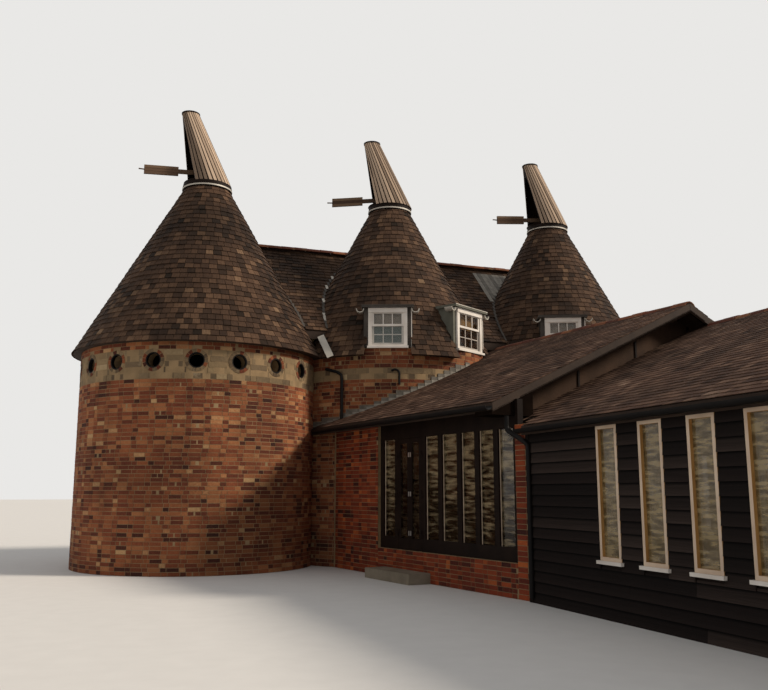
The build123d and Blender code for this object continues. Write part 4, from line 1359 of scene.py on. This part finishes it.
@dataclass
class BoardedRange:
    """The black boarded range: feather-edged boards between its windows."""

    west_x: float = -0.81
    east_x: float = 7.81
    ends: Span = (RANGE_END_Y, -7.57)
    roof_drop: float = 0.131
    window_first: float = -9.27
    window_count: int = 6
    board: float = 0.145
    lap: float = 0.025
    thick: float = 0.012
    lengths: Span = (2.2, 3.6)
    least: float = 0.6
    narrowest: float = 0.1
    corner_post: float = 0.09
    post_thick: float = 0.03
    lining: float = 0.1
    wing_wall: tuple[float, float] = (6.804, -5.609)
    corner_y: float = -5.453

    def head(self, x: float) -> float:
        """Give the height of the roof's underside at a place across the range."""
        return RANGE_ROOF.top(x) - self.roof_drop

    def build(self) -> None:
        """Board the three walls and the corner."""
        near, far = self.ends
        starts = [self.window_first - step * LOW_WINDOWS.pitch for step in range(self.window_count)]
        windows = [(start - LOW_WINDOWS.width, start) for start in starts]
        west = [(far - right, far - left) for left, right in windows]
        east = [(left - near, right - near) for left, right in windows]
        self.side("range_west_boards", ROW.upright(self.west_x, far, 0, -1), west, 70)
        self.side("range_east_boards", ROW.upright(self.east_x, near, 0, 1), east, 71)
        self.gable()
        self.corner()

    def courses(self, head: float) -> Iterator[Span]:
        """Give the foot and the head of each course up to a height."""
        for row in range(math.ceil(head / self.board)):
            low = row * self.board
            yield low, min(low + self.board + self.lap, head)

    def course(self, pile: Pile, face: FlatFace, u: Span, v: Span, windows: Sequence[Span] = ()) -> None:
        """Lay one course of boards, stopped at each window beside it.

        Args:
            pile: What the boards go into.
            face: The wall's face.
            u: Where the course starts and ends along the wall.
            v: Its foot and its head.
            windows: The windows' spans along the wall.
        """
        foot, head = LOW_WINDOWS.levels
        beside = v[0] < head and v[1] - self.lap > foot
        start = u[0]
        for left, right in [*sorted(windows if beside else ()), (u[1], u[1])]:
            self.boards(pile, face, (start, left), v)
            start = right

    def boards(self, pile: Pile, face: FlatFace, u: Span, v: Span) -> None:
        """Lay one stretch of a course, in lengths of up to about three metres."""
        place = u[0]
        while place < u[1] - 0.01:
            end = min(u[1], place + pile.draw.uniform(*self.lengths))
            if u[1] - end < self.least:
                end = u[1]
            tone = pile.draw.uniform(0.15, 0.95)
            lean = (self.thick + 0.002) / self.board
            w = (self.thick, 2 * self.thick + pile.draw.uniform(0.0, 0.004))
            pile.add(face, (place + 0.001, end - 0.001), v, w, BLACK_BOARD, tone, lean)
            place = end

    def side(self, name: str, face: FlatFace, windows: Sequence[Span], seed: int) -> None:
        """Lap boards up a side wall between two corner posts.

        Args:
            name: The piece's name.
            face: The wall's face.
            windows: The windows' spans along it.
            seed: What its random draws start from.
        """
        pile = Pile(name, seed)
        length = self.ends[1] - self.ends[0]
        head = self.head(self.west_x)
        for v in self.courses(head):
            if v[1] - v[0] >= self.lap:
                self.course(pile, face, (0.0, length), v, windows)
        for place in (0.0, length - self.corner_post):
            u = (place, place + self.corner_post)
            pile.add(face, u, (0.0, head), (0.0, self.post_thick), BLACK_BOARD, 0.3)
        pile.finish(Slot.BOARD)

    def gable(self) -> None:
        """Board the end wall up to the roof, round its two windows."""
        pile = Pile("range_south_boards", 72)
        face = ROW.upright(self.west_x, self.ends[0], 1, 0)
        width = self.east_x - self.west_x
        ridge, half = RANGE_ROOF.ridge[0], LOW_WINDOWS.width / 2
        middles = (ridge - LOW_WINDOWS.pitch, ridge + LOW_WINDOWS.pitch)
        windows = [(m - half - self.west_x, m + half - self.west_x) for m in middles]
        for v in self.courses(self.head(ridge)):
            inset = max(0.0, (v[1] - self.head(self.west_x)) / RANGE_ROOF.slope)
            if width - 2 * inset >= self.narrowest:
                self.course(pile, face, (inset, width - inset), v, windows)
        pile.finish(Slot.BOARD)

    def corner(self) -> None:
        """Close the corner between the range's east wall and the glazed wing's with a boarded partition."""
        pile = Pile("range_corner_boards", 73)
        turn = Vector((self.east_x, self.corner_y, 0))
        legs = ((Vector((self.east_x, self.ends[1], 0)), turn), (turn, Vector((*self.wing_wall, 0))))
        for start, end in legs:
            length = (end - start).length
            face = FlatFace(start, (end - start).normalized(), UP)
            low_head, high_head = self.head(start.x), self.head(end.x)
            climb = (high_head - low_head) / length
            for v in self.courses(high_head):
                begin = max(0.0, (v[1] - low_head) / climb) if climb else 0.0
                if length - begin > self.narrowest:
                    self.boards(pile, face, (begin, length), v)
            pile.add(face, (0.0, length), (0.0, low_head), (-self.lining, 0.0), DARK_TIMBER)
        pile.finish(Slot.BOARD)


@dataclass
class DormerTrim:
    """What dresses a dormer: sashes and bars, lead dressed down and curled at the edges of its roof, and a
    blind.
    """

    kilns: list[Kiln]
    front: float = 2.235
    frame_width: float = 0.075
    rail: float = 0.045
    bar: float = 0.02
    sash_thick: float = 0.02
    panes: int = 3
    upper_share: float = 0.62
    head_board: Span = (0.10, 0.004)
    sill: tuple[float, float, float] = (0.02, 0.045, 0.05)
    roof_thick: float = 0.055
    roof_side: float = 0.14
    roof_proud: float = 0.06
    lead_drop: float = 0.016
    curl: float = 0.085
    curl_out: float = 0.03
    curl_drop: float = 0.02
    curl_run: Span = (-0.22, -0.03)
    blind_back: float = 0.13
    blind_foot: float = 0.55

    def build(self) -> None:
        """Dress every dormer."""
        sashes, blinds = Pile("dormer_sashes", 80), Pile("dormer_blinds", 81)
        lead = Pile("dormer_lead_edges", 82)
        for kiln in self.kilns:
            for dormer in kiln.dormers:
                self.sashes(sashes, kiln, dormer)
                self.blind(blinds, kiln, dormer)
                self.edges(lead, kiln, dormer)
        sashes.finish(Slot.PAINT)
        blinds.finish(Slot.PAINT)
        lead.finish(Slot.LEAD)

    def edges(self, pile: Pile, kiln: Kiln, dormer: Dormer) -> None:
        """Dress the roof's lead down at its front, and curl it up at either end."""
        face = kiln.front(dormer.turn, self.front + self.roof_proud, dormer.sill)
        half = dormer.width / 2 + self.roof_side
        top = dormer.height + self.roof_thick
        pile.add(face, (-half, half), (top - self.lead_drop, top), (0.0, 0.008), dormer.lead)
        quarter = math.pi * self.curl / 2
        v = (self.curl - 0.018, self.curl)
        for side in (-1, 1):
            middle = (side * (half + self.curl_out), dormer.height - self.curl_drop)
            ring = Ring(face, middle, self.curl)
            pile.add(ring, (quarter, 3 * quarter), v, self.curl_run, PALE_LEAD, cuts=8)
        strip = kiln.front(dormer.turn, self.front - self.frame_width, dormer.sill)
        u = (dormer.half - 0.016, dormer.half + 0.002)
        pile.add(strip, u, (0.03, dormer.height), (0.0, 0.04), WHITE_PAINT)

    def sashes(self, pile: Pile, kiln: Kiln, dormer: Dormer) -> None:
        """Set an upper and a lower sash with their bars, a head board and a sill."""
        face = kiln.front(dormer.turn, self.front, dormer.sill)
        half = dormer.width / 2
        inner = half - self.frame_width
        foot, head = self.frame_width, dormer.height - self.frame_width
        deep, gap = self.head_board
        pile.add(face, (-half, half), (dormer.height - deep, dormer.height - gap), (0.0, 0.012), WHITE_PAINT)
        side, high, out = self.sill
        pile.add(face, (-half - side, half + side), (0.0, high), (0.0, out), WHITE_PAINT)
        split = foot + (head - foot) * self.upper_share
        for low, high, depth, rows in ((foot, split, -0.045, 2), (split - self.rail, head, -0.02, 1)):
            w = (depth - self.sash_thick, depth)
            across = (-inner + self.rail, inner - self.rail)
            for left in (-inner, inner - self.rail):
                pile.add(face, (left, left + self.rail), (low, high), w, WHITE_PAINT)
            for level in (low, high - self.rail):
                pile.add(face, across, (level, level + self.rail), w, WHITE_PAINT)
            for middle in self.bars(across, self.panes):
                u = (middle - self.bar / 2, middle + self.bar / 2)
                pile.add(face, u, (low + self.rail, high - self.rail), w, WHITE_PAINT)
            for level in self.bars((low + self.rail, high - self.rail), rows):
                pile.add(face, across, (level - self.bar / 2, level + self.bar / 2), w, WHITE_PAINT)

    def bars(self, span: Span, panes: int) -> list[float]:
        """Give the middles of the bars that share a span out among its panes."""
        return [span[0] + step * (span[1] - span[0]) / panes for step in range(1, panes)]

    def blind(self, pile: Pile, kiln: Kiln, dormer: Dormer) -> None:
        """Hang a blind behind the upper sash, and a net behind the lower one."""
        face = kiln.front(dormer.turn, self.front - self.blind_back, dormer.sill)
        inner = dormer.width / 2 - self.frame_width
        foot = dormer.height * self.blind_foot
        pile.add(face, (-inner, inner), (foot, dormer.height - self.frame_width), (-0.004, 0.0), dormer.blind)
        if dormer.netted:
            pile.add(face, (-inner, inner), (self.frame_width, foot), (-0.008, -0.004), NET_CURTAIN)


@dataclass
class GlazedWing:
    """The glazed wing's brick, the battens on its gable, and its beads and door plates."""

    clear: Test
    pier: Span = (-0.16, 0.11)
    pier_head: float = 2.45
    glazing_end: float = 4.21
    floor: float = 0.49
    wall: float = 0.27
    back: float = 6.2
    rear_length: float = 3.5
    width: float = 7.82
    roof_drop: float = 0.132
    rear_drop: float = 0.04
    window_first: float = 0.84
    window_count: int = 4
    set_back: float = 0.06
    bead: float = 0.008
    bead_depth: Span = (-0.04, -0.03)
    light_ends: tuple[float, ...] = (0.60, 1.09, 1.58, 2.14, 2.655, 4.09)
    light_levels: Span = (0.70, 2.42)
    meeting_y: float = 3.17
    stile: float = 0.03
    plate: tuple[float, float, float] = (0.014, 0.04, 0.006)
    plate_levels: tuple[float, ...] = (0.78, 1.45, 2.13)
    gable_foot: float = 2.29
    gable_gap: float = 0.02
    first_batten: float = 0.38
    sheet_width: float = 1.3
    batten: float = 0.035
    batten_thick: float = 0.02

    def head(self, x: float) -> float:
        """Give the height of the roof's underside at a place across the wing."""
        return WING_ROOF.top(x) - self.roof_drop

    def under_roof(self, point: Vector) -> bool:
        """Say whether a brick of the rear wall is clear of the kilns and under the wing's roof."""
        return self.clear(point) and point.z < self.head(WING.local(point)[0]) - self.rear_drop

    def build(self) -> None:
        """Lay the brickwork, and dress the gable, the lights and the doors."""
        brick = Bricklayer(WING_BRICK)
        near, far = self.pier
        pile = Pile("wing_bricks", 90)
        west = WING.upright(0.0, 0.0, 0, -1)
        brick.lay(pile, west, (-far, -near), (0.0, self.pier_head))
        brick.lay(pile, west, (-self.glazing_end, -far), (0.0, self.floor))
        brick.lay(pile, west, (-self.back, -self.glazing_end), (0.0, self.head(0.0)), keep=self.clear)
        brick.lay(pile, WING.upright(0.0, near, 1, 0), (0.0, self.wall), (0.0, self.pier_head))
        pile.finish(Slot.BRICK)
        pile = Pile("wing_east_bricks", 91)
        side = (0.0, self.head(self.width))
        first = WING_GABLE_Y + self.window_first
        starts = [first + step * LOW_WINDOWS.pitch for step in range(self.window_count)]
        holes = [(start, start + LOW_WINDOWS.width, *LOW_WINDOWS.levels) for start in starts]
        east = WING.upright(self.width, 0.0, 0, 1)
        brick.lay(pile, east, (WING_GABLE_Y, self.back), side, holes, keep=self.clear)
        rear = WING.upright(self.width, self.back + self.wall, -1, 0)
        top = self.head(WING_ROOF.ridge[0])
        brick.lay(pile, rear, (0.0, self.rear_length), (0.0, top), keep=self.under_roof)
        brick.lay(pile, WING.upright(self.width, self.back, 0, 1), (0.0, self.wall), side)
        pile.finish(Slot.BRICK)
        self.gable()
        self.beads()
        self.door_plates()

    def gable(self) -> None:
        """Nail battens over the joints between the gable's sheets."""
        pile = Pile("wing_gable_battens", 92)
        face = WING.upright(0.0, WING_GABLE_Y, 1, 0)
        place = self.first_batten
        while place < self.width - self.wall:
            u, v = (place, place + self.batten), (self.gable_foot, self.head(place) - self.gable_gap)
            pile.add(face, u, v, (0.0, self.batten_thick), DARK_TIMBER)
            place += self.sheet_width
        pile.finish(Slot.BOARD)

    def beads(self) -> None:
        """Pin a pale bead down the side of each light."""
        pile = Pile("glazing_beads", 93)
        face = WING.upright(self.set_back, 0.0, 0, -1)
        for line in self.light_ends:
            pile.add(face, (-line, -line + self.bead), self.light_levels, self.bead_depth, LIMED_OAK)
        pile.finish(Slot.TIMBER)

    def door_plates(self) -> None:
        """Screw a bolt plate, a lock plate and a foot bolt to each door's meeting stile."""
        face = WING.upright(self.set_back, 0.0, 0, -1)
        half_wide, half_high, thick = self.plate
        for name, side in (("left", 1), ("right", -1)):
            pile = Pile(f"door_{name}_plates", 94)
            middle = -self.meeting_y - side * self.stile
            for level in self.plate_levels:
                u, v = (middle - half_wide, middle + half_wide), (level - half_high, level + half_high)
                pile.add(face, u, v, (0.0, thick), ZINC_PLATE)
            pile.finish(Slot.IRON, f"{name}_door")


@dataclass
class Leadwork:
    """Sheet lead where a roof meets a kiln: stepped flashings, valley soakers, a saddle and an apron."""

    kilns: list[Kiln]
    slope: FlatFace
    piece: float = 0.15
    course: float = 0.075
    upstand: float = 0.03
    step_depth: tuple[Span, Span] = ((0.006, 0.014), (0.014, 0.02))
    soaker: float = 0.028
    soaker_tuck: float = 0.03
    soaker_thick: float = 0.005
    soaker_pitch: float = 0.7
    soaker_levels: Span = (0.05, 0.1)
    washed_side: tuple[int, int] = (2, -1)
    washed_share: float = 0.4
    curb_proud: float = 0.014
    curb_lead: Span = (0.012, 0.042)
    saddle: tuple[Span, Span] = ((7.28, 8.25), (1.77, 3.12))
    bays: int = 9
    bay_joint: float = 0.004
    apron: FlatFace = FlatFace(
        Vector((-2.0, -1.63, 4.19)), Vector((0.91, 0, 0.41)), Vector((-0.10, 0.69, 0.715))
    )
    apron_size: tuple[float, float, float] = (0.15, 0.72, 0.012)

    def build(self) -> None:
        """Lay every piece."""
        pile = Pile("lead_flashings", 97)
        for kiln in self.kilns[1:]:
            self.stepped(pile, kiln)
        for kiln in self.kilns:
            self.curb_ring(pile, kiln)
        for kiln in self.kilns:
            for side in (-1, 1):
                self.soakers(pile, kiln, side)
        (left, right), (foot, head) = self.saddle
        wide = (right - left) / self.bays
        for bay in range(self.bays):
            start = left + wide * bay
            v = (foot + (head - foot) * bay / self.bays, head)
            finish = STEPPED_LEAD if bay % 3 == 1 else SADDLE_LEAD
            pile.add(self.slope, (start, start + wide - self.bay_joint), v, (0.0, 0.006), finish)
        pile.add(self.apron, *((0.0, size) for size in self.apron_size), PALE_LEAD)
        pile.finish(Slot.LEAD)

    def curb_ring(self, pile: Pile, kiln: Kiln) -> None:
        """Dress a pale lead ring round the foot of a cowl's curb."""
        radius = kiln.top_radius + self.curb_proud
        ring = RoundFace(kiln.middle, radius, radius, kiln.top_z, kiln.top_z + 1)
        pile.add(ring, (0, ring.around), self.curb_lead, (0.0, 0.008), PALE_LEAD, cuts=48)

    def stepped(self, pile: Pile, kiln: Kiln) -> None:
        """Step a flashing up a drum along the glazed wing's roof, over a paler strip at its foot."""
        half = math.pi * kiln.wall_radius / 2
        for step in range(int(2 * half / self.piece)):
            u = (-half + step * self.piece, -half + (step + 1) * self.piece - 0.002)
            levels = sorted(WING_ROOF.top(WING.local(kiln.wall.at(end, 0.0, 0.0))[0]) for end in u)
            middle = kiln.wall.at(sum(u) / 2, 0.0, 0.0)
            x, y = WING.local(middle)
            beside = abs(x - WING_ROOF.ridge[0]) < WING_ROOF.reach and y > WING_GABLE_Y
            top = math.ceil((levels[1] + self.upstand) / self.course) * self.course
            if beside and top < kiln.eave_z and middle.y < STOWAGE_FRONT_Y:
                back, front = self.step_depth
                pile.add(kiln.wall, u, (levels[0] - self.upstand, top), back, STEPPED_LEAD)
                pile.add(kiln.wall, u, tuple(levels), front, SADDLE_LEAD)

    def soakers(self, pile: Pile, kiln: Kiln, side: int) -> None:
        """Step soakers up the valley between a cone and the stowage's front slope."""
        washed = self.washed_share if (kiln.number, side) == self.washed_side else 0.0
        shrink = (kiln.eave_radius - kiln.top_radius) / (kiln.top_z - kiln.eave_z)
        ridge_y, ridge_z = STOWAGE_ROOF.ridge
        over_foot, under_ridge = self.soaker_levels
        height = self.slope.corner.z + over_foot
        while height < ridge_z - under_ridge:
            y = height - ridge_z + ridge_y
            radius = kiln.eave_radius - shrink * (height - kiln.eave_z)
            if radius > abs(y):
                x = kiln.middle + side * math.sqrt(radius**2 - y**2)
                middle = x - self.slope.corner.x
                u = sorted((middle - side * self.soaker_tuck, middle + side * self.soaker))
                v = (y - self.slope.corner.y) * math.sqrt(2)
                finish = PALE_LEAD if pile.draw.random() < washed else LEAD_SHEET
                if abs(x) < self.kilns[2].middle:
                    pile.add(self.slope, tuple(u), (v, v + self.piece), (0.0, self.soaker_thick), finish)
            height += self.piece * self.soaker_pitch


@dataclass
class Stowage:
    """The stowage's brick gables, rear wall and the walls between the kilns."""

    kilns: list[Kiln]
    back_y: float = 3.46
    roof_drop: float = 0.17
    bed: float = 0.03
    window: tuple[float, float] = (0.81, 1.0)
    window_pitch: float = 2.75
    window_sills: tuple[float, float] = (1.25, 2.95)

    def head(self, y: float) -> float:
        """Give the height of the roof's underside at a place across the stowage."""
        return STOWAGE_ROOF.top(y) - self.roof_drop

    def clear(self, point: Vector) -> bool:
        """Say whether a brick lies outside the kilns and under the roof."""
        return not any(k.holds(point) for k in self.kilns) and point.z < self.head(point.y) - self.bed

    def build(self) -> None:
        """Lay the brickwork of the four walls."""
        brick = Bricklayer(RED_BRICK)
        pile = Pile("stowage_bricks", 95)
        end = self.kilns[2].middle
        wide, high = self.window
        lefts = [end - column * self.window_pitch - wide / 2 for column in (-1, 0, 1)]
        holes = [(left, left + wide, sill, sill + high) for left in lefts for sill in self.window_sills]
        rear = ROW.upright(end, self.back_y, -1, 0)
        brick.lay(pile, rear, (0.0, 2 * end), (0.0, self.head(self.back_y)), holes)
        top = self.head(STOWAGE_ROOF.ridge[0])
        length = self.back_y - STOWAGE_FRONT_Y
        for face, span, head in (
            (ROW.upright(-end, self.back_y, 0, -1), length, top),
            (ROW.upright(end, STOWAGE_FRONT_Y, 0, 1), length, top),
            (ROW.upright(-end, STOWAGE_FRONT_Y, 1, 0), 2 * end, self.head(STOWAGE_FRONT_Y)),
        ):
            brick.lay(pile, face, (0.0, span), (0.0, head), keep=self.clear)
        pile.finish(Slot.BRICK)


@dataclass
class Overflow:
    """The overflow's hooked iron pipe, which comes out of the middle kiln and turns down beside it."""

    kiln: Kiln
    turn: float = -18.3
    level: float = 3.86
    proud: float = 0.022
    bend: float = 0.09
    radius: float = 0.022
    drop: float = 0.22
    sides: int = 12
    sweep: float = 2.4

    def build(self) -> None:
        """Spin the hook from a ring, draw its tail down and cap both ends."""
        face = self.kiln.front(self.turn, self.kiln.wall_radius + self.proud, self.level)
        pipe = bmesh.new()
        place = Matrix.Translation((self.bend, 0, 0))
        bmesh.ops.create_circle(pipe, segments=self.sides, radius=self.radius, matrix=place)
        mouth = list(pipe.edges)
        tail = bmesh.ops.extrude_edge_only(pipe, edges=mouth)["geom"]
        lower = [part for part in tail if isinstance(part, bmesh.types.BMVert)]
        bmesh.ops.translate(pipe, verts=lower, vec=(0, 0, -self.drop))
        bmesh.ops.spin(
            pipe, geom=mouth, cent=(0, 0, 0), axis=(0, 1, 0), angle=-self.sweep, steps=self.sides
        )
        bmesh.ops.remove_doubles(pipe, verts=pipe.verts, dist=Pile.weld)
        bmesh.ops.holes_fill(pipe, edges=[edge for edge in pipe.edges if edge.is_boundary], sides=self.sides)
        for vert in pipe.verts:
            vert.co = face.at(vert.co.x, vert.co.z, -vert.co.y)
        bmesh.ops.recalc_face_normals(pipe, faces=pipe.faces)
        mesh = bpy.data.meshes.new("overflow_hook")
        pipe.to_mesh(mesh)
        pipe.free()
        mesh.materials.append(BLACK_IRON.make())
        put("overflow_hook", mesh, Slot.IRON, replaced=["overflow_pipe"])


@dataclass
class KilnDownpipe:
    """The black downpipe that comes from the valley between two kilns and runs down the middle one."""

    radius: float = 0.032
    route: tuple[tuple[float, float, float], ...] = (
        (-1.93, -1.31, 4.01),
        (-1.75, -1.555, 3.92),
        (-1.69, -1.61, 3.86),
        (-1.68, -1.62, 3.78),
        (-1.68, -1.62, 2.95),
    )

    def build(self) -> None:
        """Run a round pipe along the route."""
        curve = bpy.data.curves.new("kiln_downpipe", "CURVE")
        curve.dimensions = "3D"
        curve.bevel_depth = self.radius
        curve.bevel_resolution = 3
        curve.use_fill_caps = True
        line = curve.splines.new("POLY")
        line.points.add(len(self.route) - 1)
        for point, place in zip(line.points, self.route):
            point.co = (*place, 1.0)
        curve.materials.append(BLACK_IRON.make())
        put("kiln_downpipe", curve, Slot.IRON)


def dress(finishes: dict[Finish, str]) -> None:
    """Give each CAD node that stays in view its material.

    Args:
        finishes: The names of the nodes that each finish covers.
    """
    for finish, names in finishes.items():
        for name in names.split():
            materials = frame["nodes"][name].data.materials
            materials.clear()
            materials.append(finish.make())


def paint(name: str, choose: Callable[[Vector, Vector], Finish]) -> None:
    """Give each face of a CAD node its own material.

    Args:
        name: The node's name.
        choose: Gives the finish for a face's middle and its normal.
    """
    piece = frame["nodes"][name]
    mesh = piece.data
    mesh.materials.clear()
    used: list[Finish] = []
    for face in mesh.polygons:
        finish = choose(piece.matrix_world @ face.center, face.normal)
        if finish not in used:
            used.append(finish)
            mesh.materials.append(finish.make())
        face.material_index = used.index(finish)


def oak_or_paint(middle: Vector, normal: Vector) -> Finish:
    """Choose a finish in the range's window frames: painted sills, limed fronts and golden reveals."""
    sill_top = 0.681
    if middle.z < sill_top:
        return WHITE_PAINT
    in_gable = abs(middle.y - RANGE_END_Y) <= 0.1
    outward = abs(normal.y if in_gable else normal.x) > 0.5
    return LIMED_OAK if outward else GOLDEN_OAK


def pane_finish(middle: Vector, normal: Vector) -> Finish:
    """Choose the look of a pane by the room behind it."""
    upper_floor, unlit_room = 4.3, (0.3, 2.0)
    if middle.z > upper_floor:
        return DARK_SASH_GLASS if unlit_room[0] < middle.x < unlit_room[1] else SASH_GLASS
    return OAK_ROOM_GLASS if middle.y < 0 else WINDOW_GLASS


@dataclass
class Backdrop:
    """The floor, the light and the camera."""

    seen_sky: str = "e9e8e6"
    soft_sky: str = "e2e1e2"
    soft_strength: float = 0.6
    floor_half: float = 150.0
    floor_z: float = -0.002
    sun_energy: float = 3.4
    sun_width: float = 12.0
    sun_colour: tuple[float, float, float] = (1.0, 0.89, 0.76)
    sun_from: tuple[float, float, float] = (0.90, -0.45, 0.62)
    sensor: float = 36.0
    focal_pixels: float = 850
    picture_width: float = 768
    camera_place: tuple[float, float, float] = (-6.95, -18.2, 1.5)
    camera_turn: tuple[float, float, float] = (99.75, 0.0, -20.5)

    def build(self) -> None:
        """Lay the floor, and set the sky, the sun and the camera."""
        self.sky()
        bm = bmesh.new()
        bmesh.ops.create_grid(bm, x_segments=1, y_segments=1, size=self.floor_half)
        mesh = bpy.data.meshes.new("studio_floor")
        bm.to_mesh(mesh)
        bm.free()
        mesh.materials.append(PALE_FLOOR.make())
        floor = bpy.data.objects.new("studio_floor", mesh)
        bpy.context.scene.collection.objects.link(floor)
        floor.location.z = self.floor_z
        lamp = bpy.data.lights.new("key", "SUN")
        lamp.energy = self.sun_energy
        lamp.angle = math.radians(self.sun_width)
        lamp.color = self.sun_colour
        key = bpy.data.objects.new("key", lamp)
        bpy.context.scene.collection.objects.link(key)
        key.rotation_euler = Vector(self.sun_from).to_track_quat("Z", "Y").to_euler()
        lens = bpy.data.cameras.new("viewpoint")
        lens.sensor_width = self.sensor
        lens.lens = self.sensor * self.focal_pixels / self.picture_width
        lens.clip_end = 500.0
        camera = bpy.data.objects.new("viewpoint", lens)
        camera.location = self.camera_place
        camera.rotation_euler = [math.radians(turn) for turn in self.camera_turn]
        bpy.context.scene.collection.objects.link(camera)
        bpy.context.scene.camera = camera
        bpy.context.scene.view_settings.view_transform = "Standard"

    def sky(self) -> None:
        """Show one pale sky to the camera, in gloss and through glass, and light with a softer one."""
        world = bpy.data.worlds.new("studio")
        world.use_nodes = True
        tree = world.node_tree
        tree.nodes.clear()
        rays = add_node(tree, "LightPath").outputs
        seen = sums(tree, "MAXIMUM", rays["Is Camera Ray"], rays["Is Glossy Ray"])
        seen = sums(tree, "MAXIMUM", seen, rays["Is Transmission Ray"])
        shown = add_node(tree, "Background", {"Color": linear(self.seen_sky), "Strength": 1.0}).outputs[0]
        colour = {"Color": linear(self.soft_sky), "Strength": self.soft_strength}
        soft = add_node(tree, "Background", colour).outputs[0]
        mix = add_node(tree, "MixShader", {0: seen, 1: soft, 2: shown})
        add_node(tree, "OutputWorld", {"Surface": mix.outputs[0]})
        bpy.context.scene.world = world


def main() -> None:
    """Dress the frame piece by piece."""
    logging.basicConfig(level=logging.INFO)
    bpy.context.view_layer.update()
    kilns = [
        Kiln(1),
        Kiln(2, [
            Dormer(-22.0, 4.40, 0.81, 0.85),
            Dormer(30.0, 4.43, 0.94, 0.93, blind=GOLDEN_BLIND, lead=PALE_LEAD, netted=False),
        ]),
        Kiln(3, [Dormer(-24.5, 4.48, 0.81, 0.87)]),
    ]
    tiler = Tiler()
    roofs = FlatRoofs(kilns, tiler, low_tiler=Tiler(thick=0.007, slack=0.002, joint=0.004))
    dress(DRESSED)
    paint("range_window_frames", oak_or_paint)
    paint("window_glass", pane_finish)
    for part in (
        KilnRow(kilns, tiler),
        roofs,
        Cowls(kilns),
        BoardedRange(),
        DormerTrim(kilns),
        GlazedWing(roofs.over_wing),
        Stowage(kilns),
        Leadwork(kilns, roofs.slopes()[0].face),
        Overflow(kilns[1]),
        KilnDownpipe(),
        Backdrop(),
    ):
        part.build()


if __name__ == "__main__":
    main()
